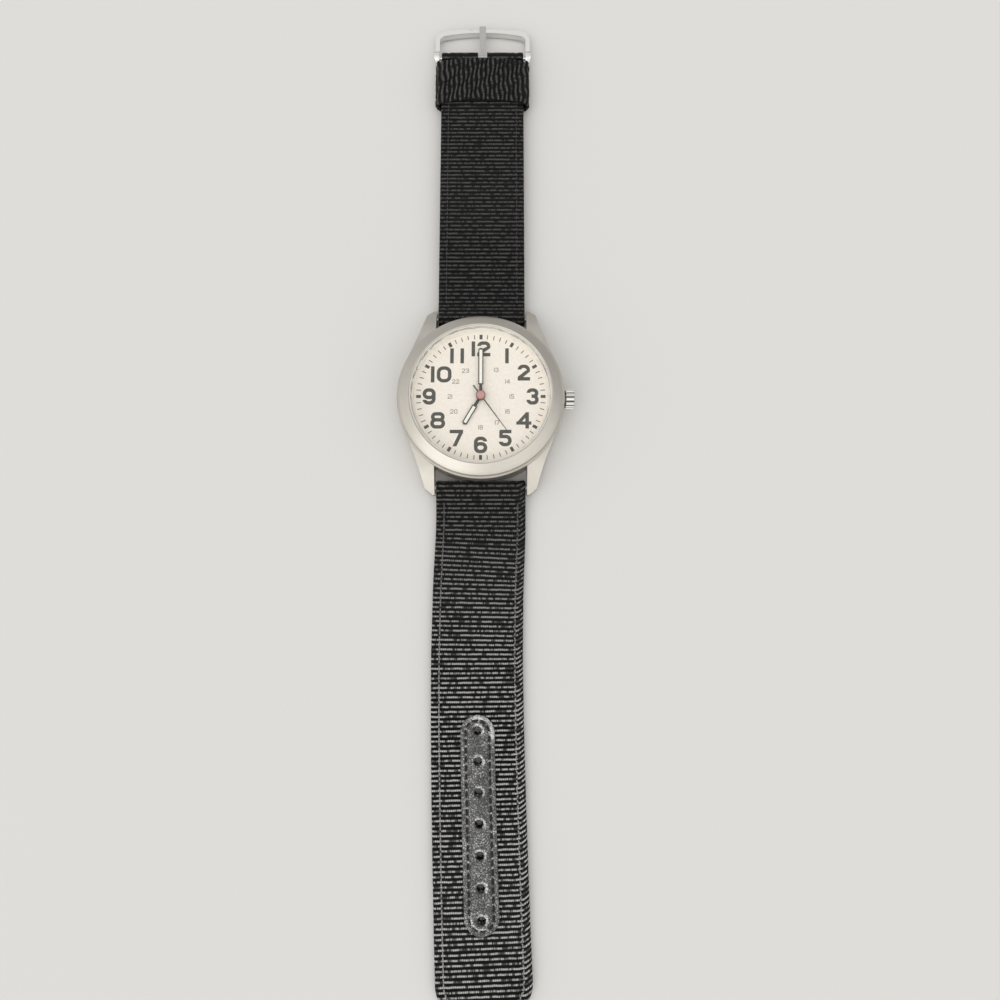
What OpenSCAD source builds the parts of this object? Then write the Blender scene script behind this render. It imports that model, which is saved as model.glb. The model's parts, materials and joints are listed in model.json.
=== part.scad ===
// Pilot watch: steel case, quartz movement with its wheel train, three hands, and a two-piece webbing
// strap with a leather hole patch and a pin buckle. Millimetres. The origin is the centre of the flat
// face of the case back, +Z through the crystal, +Y towards 12 o'clock, +X towards the crown.

/* [Case] */
// Radial thickness of the ring that holds the movement in the case
holder_w = 2.6; // [2.3:0.05:3]
// Height of the seat that the dial rests on
dial_seat = 6.6; // [6.4:0.1:7.2]
// Height of the step from the dial seat to the top of the middle case
case_rise = 1.1; // [1:0.05:1.4]
// Width of the bevel round the foot of the middle case
foot_bevel = 0.6; // [0.4:0.1:0.9]
// Gap between the two lugs of a pair
lug_gap = 22; // [21.6:0.2:22.6]
// How far the lugs reach out past the side of the case
lug_out = 3.1; // [2.9:0.1:3.6]
// Width of a lug at its tip
lug_w = 2.3; // [2.1:0.1:2.8]
// How far the slanted end of a lug falls back at its outer corner
lug_slant = 1.4; // [1:0.1:1.8]
// Height of a lug at its tip
lug_tip_h = 3; // [2.9:0.1:3.4]
// Distance of a spring bar from the tips of its lugs
bar_in = 1.9; // [1.8:0.05:2]
// Height of the spring bars
bar_z = 2.3; // [2.2:0.05:2.4]

/* [Bezel and crystal] */
// Width of the bezel from its inner to its outer edge
bezel_w = 2.65; // [2.5:0.05:3]
// How far the middle case stands out past the bezel
bezel_step = 0.5; // [0.3:0.1:0.7]
// Height of the upright edge round the foot of the bezel
bezel_edge = 1; // [0.8:0.1:1.2]
// Height that the bezel's sloped face climbs to its inner edge
bezel_slope = 1.35; // [1:0.05:1.6]
// Thickness of the crystal
crystal_t = 1.5; // [1.3:0.05:1.6]
// Radial thickness of the crystal gasket
gasket_t = 0.3; // [0.2:0.05:0.4]

/* [Crown] */
// Radius of the crown
crown_r = 2.3; // [2.2:0.05:2.6]
// Length of the crown
crown_len = 2.35; // [2.2:0.05:2.8]
// Number of flutes round the crown
crown_flutes = 12; // [10:1:16]
// How far the crown pulls out to set the hands
crown_pull = 0.8; // [0.6:0.05:0.9]
// Radius of the winding stem
stem_r = 0.45; // [0.4:0.01:0.48]

/* [Dial and hands] */
// How far the dial laps over the ring that holds the movement
dial_lap = 0.7; // [0.6:0.05:0.8]
// Thickness of the dial
dial_t = 0.4; // [0.35:0.05:0.45]
// Length of the minute hand
minute_len = 11.7; // [11:0.1:13]
// Length of the hour hand
hour_len = 7.9; // [7.5:0.1:9]
// Width of the hour and minute hands
hand_w = 1.2; // [1.1:0.05:1.4]
// Length of the second hand from the centre to its tip
second_len = 10.7; // [10:0.1:13]
// Length of the second hand's tail
tail_len = 3; // [2.5:0.1:3.5]
// Radius of the disc at the middle of the second hand
hub_r = 1.15; // [1:0.05:1.3]

/* [Movement] */
// Radius of the movement, on which the holding ring, dial, bezel and case build outwards
move_r = 13; // [11.7:0.1:14.3]
// Thickness of the main plate
plate_t = 0.6; // [0.5:0.05:0.65]
// Thickness of the wheels
gear_t = 0.2; // [0.15:0.01:0.22]
// Air between one wheel and the next above it
layer_gap = 0.14; // [0.12:0.01:0.15]
// Radius of the button cell
cell_r = 2.9; // [2.7:0.1:3]
// Height of the button cell
cell_h = 2.6; // [2.4:0.05:2.65]

/* [Strap] */
// Gap between the strap and each lug
strap_air = 0.35; // [0.2:0.05:0.5]
// Thickness of the two plies of webbing
strap_t = 2; // [1.8:0.1:2]
// Length of the lower strap from its spring bar to its rounded tip
lower_len = 116.4; // [113:0.2:120]
// Radius of the two corners of the strap tip
tip_r = 7; // [5:0.5:9]
// Length of the upper strap from its spring bar to the buckle pin
upper_len = 72.2; // [69:0.2:76]
// Distance from the spring bar to the nearest buckle hole
hole_from = 56.1; // [55:0.1:58]
// Distance between buckle holes
hole_pitch = 6.71; // [6.3:0.01:6.8]
// Number of buckle holes
hole_count = 7; // [5:1:7]
// Radius of a buckle hole
hole_r = 0.9; // [0.8:0.05:1]
// Width of the leather patch round the holes
patch_w = 7.8; // [7:0.1:9]
// Width of the stitched margin round the raised panel of the patch
patch_margin = 1.15; // [0.9:0.05:1.4]
// Thickness of the patch at its edge
patch_t = 0.5; // [0.4:0.05:0.6]
// How far the panel stands above the edge of the patch
panel_t = 0.35; // [0.2:0.05:0.4]
// Length of the keeper along the strap
keeper_len = 11.9; // [10:0.1:13]
// Thickness of the keeper's webbing
keeper_t = 1; // [0.8:0.05:1]

/* [Buckle] */
// Gap between the strap and each arm of the buckle
buckle_air = 0.6; // [0.5:0.05:0.8]
// Thickness of the arms
arm_t = 1.15; // [1:0.05:1.3]
// Distance from the buckle pin to the outer edge of the far bar
buckle_reach = 9.2; // [8.8:0.1:10.5]
// Thickness of the far bar in the middle of each of its two bows
buckle_bar = 1.3; // [1.2:0.05:1.4]
// Radius of the outer corners of the buckle
buckle_corner = 3; // [2.6:0.1:3.4]
// Width of the tang where it crosses the bar
tang_w = 1.7; // [1.5:0.05:1.8]
// Angle that the buckle drops from its pin to the table
buckle_drop = 8; // [6:0.5:8.5]

/* [Hidden] */
$fn = 72;

// Clearances: a shaft in its bearing, a piece dropped in its seat, and a cut that runs past a face
run = 0.03;
seat = 0.05;
past = 1;

// Radii from the movement out to the side of the case
bore_r = move_r + holder_w + 2 * seat;
dial_r = bore_r + dial_lap;
bezel_in_r = dial_r + 0.35;
neck_r = bezel_in_r + 0.8;
bezel_r = bezel_in_r + bezel_w;
case_r = bezel_r + bezel_step;

// Case back: flat boss, flange against the case and spigot inside it
boss_h = 0.35;
flange_t = 0.65;
spigot_h = 0.9;
back_notches = 6;
case_foot = boss_h + flange_t;
spigot_r = bore_r + 0.6;
flange_r = spigot_r + 0.7;
boss_r = flange_r - 2.5;
foot_r = case_r - foot_bevel;
back_seal_t = 0.4;
// Room cut under the spring bars, for the strap to hang down past the case back
strap_room = 2.6;

// Stack of the case top
case_top = dial_seat + case_rise;
dial_top = dial_seat + dial_t;
crystal_seat = case_top + 1;
bezel_top = case_top + bezel_edge + bezel_slope;
crystal_r = bezel_in_r - gasket_t;
ledge_r = bezel_in_r - 0.6;

// Lug outline: a hollow arc that leaves the case at lug_angle and ends at the tip's outer corner
lug_x = lug_gap / 2;
lug_reach = case_r + lug_out;
bar_y = lug_reach - bar_in;
lug_angle = 25;
lug_u = [cos(lug_angle), sin(lug_angle)];
lug_p = [lug_x + lug_w, lug_reach - lug_slant];
lug_arc_r = (lug_p * lug_p + case_r * case_r - 2 * case_r * (lug_p * lug_u)) / (2 * (lug_p * lug_u - case_r));
lug_arc_c = (case_r + lug_arc_r) * lug_u;
lug_start = case_r * lug_u;
lug_crest_y = lug_start[1] - 0.4;
lug_crest_z = case_top - 0.4;
lug_drop = lug_crest_z - lug_tip_h;
lug_run = lug_reach - lug_crest_y;
lug_top_r = (lug_run * lug_run + lug_drop * lug_drop) / (2 * lug_drop);

// Spring bars: tube, and sprung tips with a collar and a nose that sits in the lug
bar_r = 0.75;
bar_bore = 0.5;
tip_stem_r = bar_bore - run;
nose_r = 0.5;
nose_in_lug = 0.75;
tip_travel = 0.85;
collar_t = 0.35;
collar_x = lug_x - 0.15;
tube_x = collar_x - collar_t - tip_travel - seat;
tip_stem_len = tip_travel + 1.4;
spring_x = tube_x - tip_stem_len - 0.1;
spring_turns = 14;
spring_wire = 0.1;
spring_r = bar_bore - spring_wire - 0.06;

// Heights in the movement, from the dial seat down
motion_h = 0.8;
plate_top = dial_seat - motion_h;
plate_low = plate_top - plate_t;
rim_w = 0.7;
top_air = 0.15;
function layer(k) = plate_low - top_air - gear_t - k * (gear_t + layer_gap);
bridge_air = 0.13;
bridge_top = layer(3) - bridge_air;
bridge_t = 0.55;
bridge_r = 4.6;
bridge_low = bridge_top - bridge_t;
arbor_r = 0.15;
pivot_r = 0.08;
pivot_bore = pivot_r + 0.02;
leaf_past = 0.05;
tooth_play = 0.03;

// Wheel train: teeth and modules; each pair sets its own centre distance
rotor_leaves = 6;
fifth_teeth = 36;
fifth_leaves = 8;
fourth_teeth = 40;
fourth_leaves = 8;
third_teeth = 60;
third_leaves = 8;
centre_teeth = 64;
cannon_leaves = 10;
minute_teeth = 30;
minute_leaves = 8;
hour_teeth = 32;
centre_m = 0.1;
third_dist = centre_m * (centre_teeth + third_leaves) / 2;
third_m = 2 * third_dist / (third_teeth + fourth_leaves);
fourth_m = 0.16;
fifth_dist = fourth_m * (fourth_teeth + fifth_leaves) / 2;
fifth_m = 0.12;
rotor_dist = fifth_m * (fifth_teeth + rotor_leaves) / 2;
motion_m = 0.16;
minute_dist = motion_m * (cannon_leaves + minute_teeth) / 2;
third_at = 60;
fifth_at = -110;
rotor_at = -75;
minute_at = -42.5;
function polar(r, a) = [r * cos(a), r * sin(a)];
third_p = polar(third_dist, third_at);
fifth_p = polar(fifth_dist, fifth_at);
rotor_p = fifth_p + polar(rotor_dist, rotor_at);
minute_p = polar(minute_dist, minute_at);

// Rotor, stator and coil
magnet_r = 1;
magnet_z = bridge_top + 0.15;
magnet_h = 0.5;
stator_t = 0.35;
stator_z = magnet_z + 0.08;
stator_bore = magnet_r + 0.2;
stator_half = 1.35;
coil_y = rotor_p[1] - 3;
coil_r = 0.95;
coil_half = 3.9;
core_half = 5.2;
core_w = 0.9;
core_t = 0.5;
core_z = stator_z + stator_t;
coil_z = core_z + core_t / 2;

// Motion work under the dial, and the pipes that carry the hands
cannon_r = 0.45;
cannon_bore = arbor_r + 0.05;
hour_pipe_bore = cannon_r + 0.05;
hour_pipe_r = 0.75;
dial_hole_r = 1;
motion_air = 0.1;
minute_wheel_z = plate_top + motion_air;
hour_wheel_z = minute_wheel_z + gear_t + 0.15;
hand_t = 0.15;
hour_hand_z = dial_top + 0.4;
minute_hand_z = hour_hand_z + 0.35;
second_hand_z = minute_hand_z + 0.35;
needle_t = 0.12;
hub_t = 0.35;
hour_at = -210;
second_at = -144;
hand_edge = 0.25;
lume_from = 3;
neck_w = 0.7;

// Keyless work: stem, clutch, setting lever, rocking yoke and setting wheel
stem_z = plate_low - 0.6;
set_m = 0.16;
clutch_teeth = 16;
set_teeth = 20;
set_x = 6.25;
clutch_x = set_x + set_m * set_teeth / 2 - 0.25;
clutch_w = 0.5;
hub_w = 0.35;
square_w = 0.62;
stem_pivot_r = 0.3;
stem_in = 5.5;
shoulder_x = 6.95;
block_x = [6.2, 6.9];
bearing_x = [8.85, move_r - 0.4];
groove_x = 9.9;
groove_w = 0.36;
groove_r = 0.25;
lever_pin_r = groove_w / 2 - run;
lever_arm = 3;
yoke_p = [4.7, 2.8];
yoke_w = 1;
stud_r = 0.35;
set_z = minute_wheel_z;
yoke_z = set_z + gear_t + 0.05;

// Fixing points of the movement, on pillars of the main plate
bridge_fix = [[-4.7, -0.4], [5, -2.6], [-1.6, 6]];
board_fix = [polar(move_r - 1.9, -15), polar(move_r - 2.1, -48)];
clamp_fix = [[-9, -0.8], [-3, 8.4]];
pillar_r = 0.8;
screw_head_r = 0.65;
screw_head_t = 0.25;
screw_r = 0.3;
cell_p = polar(bridge_r + 0.35 + cell_r, 150);
cell_z = bridge_low - 0.25;
clamp_t = 0.2;
pad_r = pillar_r + 0.4;
board_x = 5.6;
board_y = -1.7;
board_r = move_r - rim_w - 0.2;
board_t = 0.3;
chip = [1.1, 2, 0.5];
chip_p = [board_x + 0.15, -6.1];
can_r = 0.65;
can_len = 4;
can_p = [move_r - 4.1, -2.6];
foot_p = [polar(move_r - 1.6, 105), polar(move_r - 1.6, -130)];
foot_pin_r = 0.35;

// Crown, tube and gasket
crown_x = case_r + 0.25;
tube_r = 1.1;
tube_bore = stem_r + 0.2;
tube_out = crown_x + 1.2;
seal_t = 0.35;
recess_r = tube_r + seal_t;
recess_x = tube_out + 0.25;
seal_x = crown_x + 0.1;
stem_out = crown_x + crown_len - 0.5;

// Strap and buckle
strap_w = lug_gap - 2 * strap_air;
strap_tip = bar_y + lower_len;
pin_y = bar_y + upper_len;
hole_y = bar_y + hole_from;
loop_r = bar_r + run + strap_t / 2;
pin_r = 0.6;
end_loop_r = pin_r + 0.02 + strap_t / 2;
loop_blend = 6;
drop_run = 7.9;
slot_w = tang_w + 0.7;
slot_y = pin_y - 2;
keeper_air = 0.25;
keeper_side = 0.65;
keeper_y = slot_y - 0.2;
end_blend_y = keeper_y + seat;
arm_h = 1.4;
ear_r = 1.7;
ear_pin_r = 0.4;
ear_bulge = 0.3;
ear_round = 2.9;
buckle_in = strap_w / 2 + buckle_air;
buckle_w = 2 * (buckle_in + arm_t);
bow_x = 4;
bow_r = 40;
inner_bow_r = 45;
inner_corner = 1.7;
tang_loop_r = 1.25;
tang_t = 0.75;
tang_root_w = 1.1;
tang_tip = buckle_reach + 0.55;
tang_nose = 0.3;
tang_round = 0.9;
patch_end = 3.4;
patch_from = hole_y - patch_end;
patch_to = hole_y + (hole_count - 1) * hole_pitch + patch_end;

// Outline of a wheel or pinion: pitch radius teeth * m / 2, one tooth centred at angle at
function tooth_ring(teeth, m, at, play) =
    let (rp = teeth * m / 2, half = 90 / teeth - play / rp * 90 / PI,
         row = [[rp - 1.15 * m, -1.3], [rp, -1], [rp + 0.85 * m, -0.45],
                [rp + 0.85 * m, 0.45], [rp, 1], [rp - 1.15 * m, 1.3]])
    [for (i = [0 : teeth - 1]) for (p = row) polar(p[0], at + 360 * i / teeth + half * p[1])];

module gear(teeth, m, z, t, at = 0, bore = 0, play = tooth_play) {
    translate([0, 0, z]) linear_extrude(t) difference() {
        polygon(tooth_ring(teeth, m, at, play));
        if (bore > 0) circle(bore);
    }
}

// A wheel with crossings: a toothed rim, a hub and five spokes
module spoked_gear(teeth, m, z, at, hub) {
    rim = teeth * m / 2 - 1.15 * m - 0.35;
    gear(teeth, m, z, gear_t, at, rim);
    translate([0, 0, z]) linear_extrude(gear_t) {
        circle(hub);
        for (i = [0 : 4]) rotate(i * 72) translate([0, -0.12]) square([rim + 0.05, 0.24]);
    }
}

module rod(r, z0, z1) {
    translate([0, 0, z0]) cylinder(r = r, h = z1 - z0);
}

module rod_x(r, x0, x1) {
    translate([x0, 0, 0]) rotate([0, 90, 0]) cylinder(r = r, h = x1 - x0);
}

// An arbor with a pivot at each end, from the bridge to the main plate
module arbor() {
    rod(arbor_r, bridge_top + leaf_past, plate_low - leaf_past);
    rod(pivot_r, bridge_low + leaf_past, plate_low + plate_t - leaf_past);
}

module mirrored_y() {
    children();
    mirror([0, 1, 0]) children();
}

module mirrored_x() {
    children();
    mirror([1, 0, 0]) children();
}

// One lug: the plan of its hollow side and slanted end, under the long arc of its top
module lug() {
    intersection() {
        translate([0, 0, case_foot]) linear_extrude(case_top) difference() {
            polygon([[lug_x, lug_start[1]], [lug_x, lug_reach], [lug_x + 0.5, lug_reach], lug_p,
                     [lug_start[0] + 3, lug_p[1]], [lug_start[0] + 3, lug_start[1]]]);
            translate(lug_arc_c) circle(lug_arc_r, $fn = 360);
        }
        translate([0, lug_crest_y, lug_crest_z - lug_top_r]) rod_x(lug_top_r, lug_x - past, case_r);
    }
}

module case_body() {
    color("#b9b4a8") difference() {
        union() {
            rotate_extrude() polygon([[0, case_foot], [foot_r, case_foot], [case_r, case_foot + foot_bevel],
                                      [case_r, case_top - 0.25], [case_r - 0.25, case_top], [0, case_top]]);
            mirrored_y() mirrored_x() lug();
        }
        rod(bore_r, 0, dial_seat);
        rod(dial_r + seat, dial_seat, case_top + past);
        rod(neck_r + seat, dial_top, case_top + past);
        rod(spigot_r + seat, 0, case_foot + spigot_h + seat);
        rotate_extrude() translate([spigot_r, case_foot - past]) square([0.5, past + back_seal_t]);
        translate([0, 0, stem_z]) rod_x(tube_r, 0, case_r + past);
        mirrored_y() translate([0, bar_y, bar_z]) {
            rod_x(loop_r + 0.25, -lug_x, lug_x);
            translate([-lug_x, -strap_room, -bar_z]) cube([lug_gap, 2 * strap_room, bar_z]);
            mirrored_x() rod_x(nose_r + run, 0, lug_x + nose_in_lug + 0.25);
        }
    }
}

module bezel() {
    color("#c3beb0") rotate_extrude() difference() {
        polygon([[bezel_in_r, dial_top + 0.1], [neck_r, dial_top + 0.1], [neck_r, case_top],
                 [bezel_r - 0.35, case_top], [bezel_r - 0.35, case_top + 0.2], [bezel_r, case_top + 0.25],
                 [bezel_r, case_top + bezel_edge - 0.1], [bezel_r - 0.1, case_top + bezel_edge],
                 [bezel_in_r + 0.2, bezel_top], [bezel_in_r, bezel_top - 0.1],
                 [bezel_in_r, crystal_seat], [ledge_r, crystal_seat],
                 [ledge_r, crystal_seat - 0.4], [bezel_in_r, crystal_seat - 0.4]]);
    }
}

module crystal() {
    color("#dfe8ea", 0.35) rotate_extrude() polygon([[0, crystal_seat], [crystal_r, crystal_seat],
        [crystal_r, crystal_seat + crystal_t - 0.15], [crystal_r - 0.15, crystal_seat + crystal_t],
        [0, crystal_seat + crystal_t]]);
}

module crystal_gasket() {
    color("white") rotate_extrude() translate([crystal_r, crystal_seat]) square([gasket_t, crystal_t - 0.45]);
}

module rehaut_ring() {
    color("#e9e4d8") rotate_extrude() polygon([[dial_r - 0.55, dial_top], [dial_r - 0.3, crystal_seat - 0.4],
        [bezel_in_r - seat, crystal_seat - 0.4], [bezel_in_r - seat, dial_top + 0.15], [dial_r, dial_top]]);
}

module case_back() {
    color("#c9c7c2") difference() {
        union() {
            rod(boss_r, 0, boss_h);
            rod(flange_r, boss_h, case_foot);
            rod(spigot_r, case_foot, case_foot + spigot_h);
        }
        rod(spigot_r - 1, case_foot + 0.2, case_foot + spigot_h + past);
        for (i = [0 : back_notches - 1]) rotate(i * 360 / back_notches)
            translate([flange_r - 0.9, -1, -past]) cube([2, 2, past + boss_h + 0.35]);
    }
}

module case_back_gasket() {
    color("#202020") rotate_extrude() translate([spigot_r + 0.05, case_foot]) square([0.4, back_seal_t - 0.05]);
}

module crown_tube() {
    color("#b9b7b2") translate([0, 0, stem_z]) difference() {
        rod_x(tube_r, bore_r + 0.2, tube_out);
        rod_x(tube_bore, bore_r - past, tube_out + past);
    }
}

module dial() {
    color("#f0e8d8") difference() {
        union() {
            rod(dial_r, dial_seat, dial_top);
            for (p = foot_p) translate(p) rod(foot_pin_r, plate_low + 0.1, dial_seat);
        }
        rod(dial_hole_r, dial_seat - past, dial_top + past);
    }
}

module movement_holder() {
    color("#d8d8d4") difference() {
        rod(bore_r - seat, case_foot + spigot_h + seat, dial_seat);
        rod(move_r + seat, 0, dial_seat + past);
        translate([move_r - past, -tube_r, stem_z - tube_r]) cube([bore_r, 2 * tube_r, 2 * tube_r]);
    }
}

module pillar(p, low) {
    translate(p) difference() {
        rod(pillar_r, low, plate_low);
        rod(screw_r, low - past, plate_low);
    }
}

module main_plate() {
    color("#c8b27a") difference() {
        union() {
            rod(move_r, plate_low, plate_top);
            difference() {
                rod(move_r, bridge_low, dial_seat);
                rod(move_r - rim_w, bridge_low - past, dial_seat + past);
            }
            for (x = [block_x, bearing_x]) translate([x[0], -1.1, stem_z - 0.9])
                cube([x[1] - x[0], 2.2, plate_low - stem_z + 0.9]);
            for (p = bridge_fix) pillar(p, bridge_top);
            for (p = board_fix) pillar(p, bridge_low + board_t);
            for (p = clamp_fix) pillar(p, cell_z);
            translate(yoke_p) rod(stud_r, plate_top, yoke_z + gear_t + 0.05);
            translate([groove_x, lever_arm]) rod(stud_r, plate_top, set_z + gear_t + 0.05);
        }
        rod(hour_pipe_bore, plate_low - past, plate_top + past);
        for (p = [third_p, fifth_p, rotor_p]) translate(p) rod(pivot_bore, plate_low - past, plate_top - 0.02);
        translate(minute_p) rod(pivot_bore, plate_low + 0.1, plate_top + past);
        translate(cell_p) rod(cell_r + 0.1, plate_low - past, cell_z + cell_h + seat);
        translate([-coil_half - 0.4, coil_y - coil_r - 0.15, plate_low - past])
            cube([2 * coil_half + 0.8, 2 * coil_r + 0.3, past + coil_z + coil_r - plate_low + seat]);
        for (p = foot_p) translate(p) rod(foot_pin_r + run, plate_low - past, dial_seat);
        translate([0, 0, stem_z]) {
            rod_x(stem_pivot_r + run, 0, bearing_x[0]);
            rod_x(stem_r + 0.05, bearing_x[0] - past, move_r + past);
        }
        translate([block_x[1] + 0.4, -1.7, plate_low - past])
            cube([bearing_x[0] - block_x[1] - 0.4, 3.4, plate_t + 2 * past]);
        translate([groove_x - 0.4, -0.55, stem_z]) cube([crown_pull + 0.8, 1.1, plate_top + past - stem_z]);
    }
}

module train_bridge() {
    color("#cdbb88") difference() {
        translate([0, 0, bridge_low]) linear_extrude(bridge_t) {
            circle(bridge_r);
            for (p = bridge_fix) translate(p) circle(pad_r);
            for (p = bridge_fix) rotate(atan2(p[1], p[0])) translate([0, -0.9]) square([norm(p), 1.8]);
            translate(rotor_p) circle(1.3);
            rotate(atan2(rotor_p[1], rotor_p[0])) translate([0, -1]) square([norm(rotor_p), 2]);
        }
        for (p = [[0, 0], third_p, fifth_p, rotor_p]) translate(p) rod(pivot_bore, 0, dial_seat);
        for (p = bridge_fix) translate(p) rod(screw_r + run, 0, dial_seat);
    }
}

module stator() {
    color("#a9a9ad") translate([0, 0, stator_z]) linear_extrude(stator_t) difference() {
        union() {
            translate([-core_half, rotor_p[1] - stator_half]) square([2 * core_half, 2 * stator_half]);
            for (x = [-core_half, core_half - core_w]) translate([x, coil_y - core_w / 2])
                square([core_w, rotor_p[1] - coil_y + core_w / 2]);
        }
        translate(rotor_p) circle(stator_bore);
    }
}

module coil_core() {
    color("#8f9094") translate([-core_half, coil_y - core_w / 2, core_z]) cube([2 * core_half, core_w, core_t]);
}

module coil() {
    color("#a8552c") translate([0, coil_y, coil_z]) difference() {
        union() {
            rod_x(coil_r - 0.1, -coil_half, coil_half);
            mirrored_x() rod_x(coil_r, coil_half - 0.3, coil_half);
        }
        translate([-core_half, -core_w / 2, -core_t / 2]) cube([2 * core_half, core_w, core_t]);
    }
}

module circuit_board() {
    color("#2f6b45") difference() {
        union() {
            translate([0, 0, bridge_low]) linear_extrude(board_t) intersection() {
                circle(board_r);
                translate([board_x, -board_r]) square([board_r, board_r + board_y]);
            }
            translate([chip_p[0], chip_p[1], bridge_low + board_t - leaf_past]) cube(chip);
        }
        translate(bridge_fix[1]) rod(pad_r + 0.2, 0, dial_seat);
        for (p = board_fix) translate(p) rod(screw_r + run, 0, dial_seat);
    }
}

module quartz_can() {
    color("#c4c4c0") translate([can_p[0], can_p[1], bridge_low + board_t + can_r])
        rotate([90, 0, 0]) rod(can_r, 0, can_len);
}

module button_cell() {
    color("#d2d2cf") translate(cell_p) {
        rod(cell_r, cell_z + 0.3, cell_z + cell_h);
        rod(cell_r - 0.5, cell_z, cell_z + 0.3);
    }
}

module cell_clamp() {
    d = clamp_fix[1] - clamp_fix[0];
    color("#b9a14c") difference() {
        translate([clamp_fix[0][0], clamp_fix[0][1], cell_z - clamp_t]) linear_extrude(clamp_t) {
            circle(pillar_r);
            translate(d) circle(pillar_r);
            rotate(atan2(d[1], d[0])) translate([0, -0.6]) square([norm(d), 1.2]);
        }
        for (p = clamp_fix) translate(p) rod(screw_r + run, 0, dial_seat);
    }
}

// One slotted screw: head under face z, shank above it
module screw(z) {
    difference() {
        union() {
            rod(screw_head_r, z - screw_head_t, z);
            rod(screw_r - 0.02, z, z + 1.1);
        }
        translate([-past, -0.08, z - screw_head_t - past]) cube([2 * past, 0.16, past + 0.12]);
    }
}

module movement_screws() {
    color("#9a9aa0") {
        for (p = concat(bridge_fix, board_fix)) translate(p) screw(bridge_low);
        for (p = clamp_fix) translate(p) screw(cell_z - clamp_t);
    }
}

module spring_bar() {
    color("#b5b5b5") difference() {
        rod_x(bar_r, -tube_x, tube_x);
        rod_x(bar_bore, -tube_x - past, tube_x + past);
    }
}

// A coil spring along X: a square wire swept round the helix, closed at both ends
module bar_spring() {
    steps = spring_turns * 8;
    lead = 2 * spring_x / steps;
    tube = [for (i = [0 : steps]) for (c = [[-1, -1], [-1, 1], [1, 1], [1, -1]])
        let (r = spring_r + c[1] * spring_wire / 2, a = i * 45)
        [-spring_x + i * lead + c[0] * spring_wire / 2, r * cos(a), r * sin(a)]];
    sides = [for (i = [0 : steps - 1]) for (k = [0 : 3])
        let (a = 4 * i + k, b = 4 * i + (k + 1) % 4) each [[a, a + 4, b], [b, a + 4, b + 4]]];
    caps = [[0, 1, 2], [0, 2, 3], [4 * steps + 2, 4 * steps + 1, 4 * steps], [4 * steps + 3, 4 * steps + 2, 4 * steps]];
    color("#8c8c8c") polyhedron(tube, concat(sides, caps));
}

module bar_tip() {
    color("#c0c0c0") {
        rod_x(tip_stem_r, tube_x - 0.1 - tip_stem_len + collar_x - collar_t - tube_x, collar_x - collar_t);
        rod_x(bar_r, collar_x - collar_t, collar_x);
        rod_x(nose_r, collar_x, lug_x + nose_in_lug);
    }
}

module at_bar(side) {
    translate([0, side * bar_y, bar_z]) children();
}

module spring_bar_12() { at_bar(1) spring_bar(); }
module spring_bar_6() { at_bar(-1) spring_bar(); }
module bar_spring_12() { at_bar(1) bar_spring(); }
module bar_spring_6() { at_bar(-1) bar_spring(); }
module bar_tip_12_right() { at_bar(1) bar_tip(); }
module bar_tip_12_left() { at_bar(1) mirror([1, 0, 0]) bar_tip(); }
module bar_tip_6_right() { at_bar(-1) bar_tip(); }
module bar_tip_6_left() { at_bar(-1) mirror([1, 0, 0]) bar_tip(); }

module rotor() {
    color("#6f6f76") translate(rotor_p) {
        rod(magnet_r, magnet_z, magnet_z + magnet_h);
        gear(rotor_leaves, fifth_m, layer(1) - leaf_past, gear_t + 2 * leaf_past, rotor_at + 180);
        arbor();
    }
}

module fifth_wheel() {
    color("#d0ae5a") translate(fifth_p) {
        spoked_gear(fifth_teeth, fifth_m, layer(1), rotor_at + 180 / fifth_teeth, 0.5);
        gear(fifth_leaves, fourth_m, layer(3) - leaf_past, gear_t + 2 * leaf_past, fifth_at + 180);
        arbor();
    }
}

module fourth_wheel() {
    color("#d0ae5a") {
        spoked_gear(fourth_teeth, fourth_m, layer(3), fifth_at + 180 / fourth_teeth, 0.6);
        gear(fourth_leaves, third_m, layer(2) - leaf_past, gear_t + 2 * leaf_past, third_at);
        rod(arbor_r, bridge_top + leaf_past, second_hand_z + hub_t - 0.1);
        rod(pivot_r, bridge_low + leaf_past, bridge_top + 2 * leaf_past);
    }
}

module third_wheel() {
    color("#d0ae5a") translate(third_p) {
        spoked_gear(third_teeth, third_m, layer(2), third_at + 180 + 180 / third_teeth, 0.5);
        gear(third_leaves, centre_m, layer(0) - leaf_past, gear_t + 2 * leaf_past, third_at + 180);
        arbor();
    }
}

module centre_wheel() {
    color("#d0ae5a") difference() {
        spoked_gear(centre_teeth, centre_m, layer(0), third_at + 180 / centre_teeth, cannon_r + 0.35);
        rod(cannon_r, 0, dial_seat);
    }
}

module cannon_pinion() {
    color("#b8b8b8") difference() {
        union() {
            rod(cannon_r, layer(0), minute_hand_z + hand_t);
            gear(cannon_leaves, motion_m, minute_wheel_z - 0.02, gear_t + 0.06, minute_at);
        }
        rod(cannon_bore, 0, bezel_top);
    }
}

module minute_wheel() {
    color("#d0ae5a") translate(minute_p) {
        gear(minute_teeth, motion_m, minute_wheel_z, gear_t, minute_at + 180 + 180 / minute_teeth);
        gear(minute_leaves, motion_m, minute_wheel_z + gear_t, hour_wheel_z - minute_wheel_z + leaf_past, minute_at + 180);
        rod(pivot_r, plate_low + 0.15, minute_wheel_z);
    }
}

module hour_wheel() {
    color("#d0ae5a") difference() {
        union() {
            gear(hour_teeth, motion_m, hour_wheel_z, gear_t, minute_at + 180 / hour_teeth);
            rod(hour_pipe_r, hour_wheel_z, hour_hand_z + hand_t);
        }
        rod(hour_pipe_bore, 0, bezel_top);
    }
}

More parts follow.
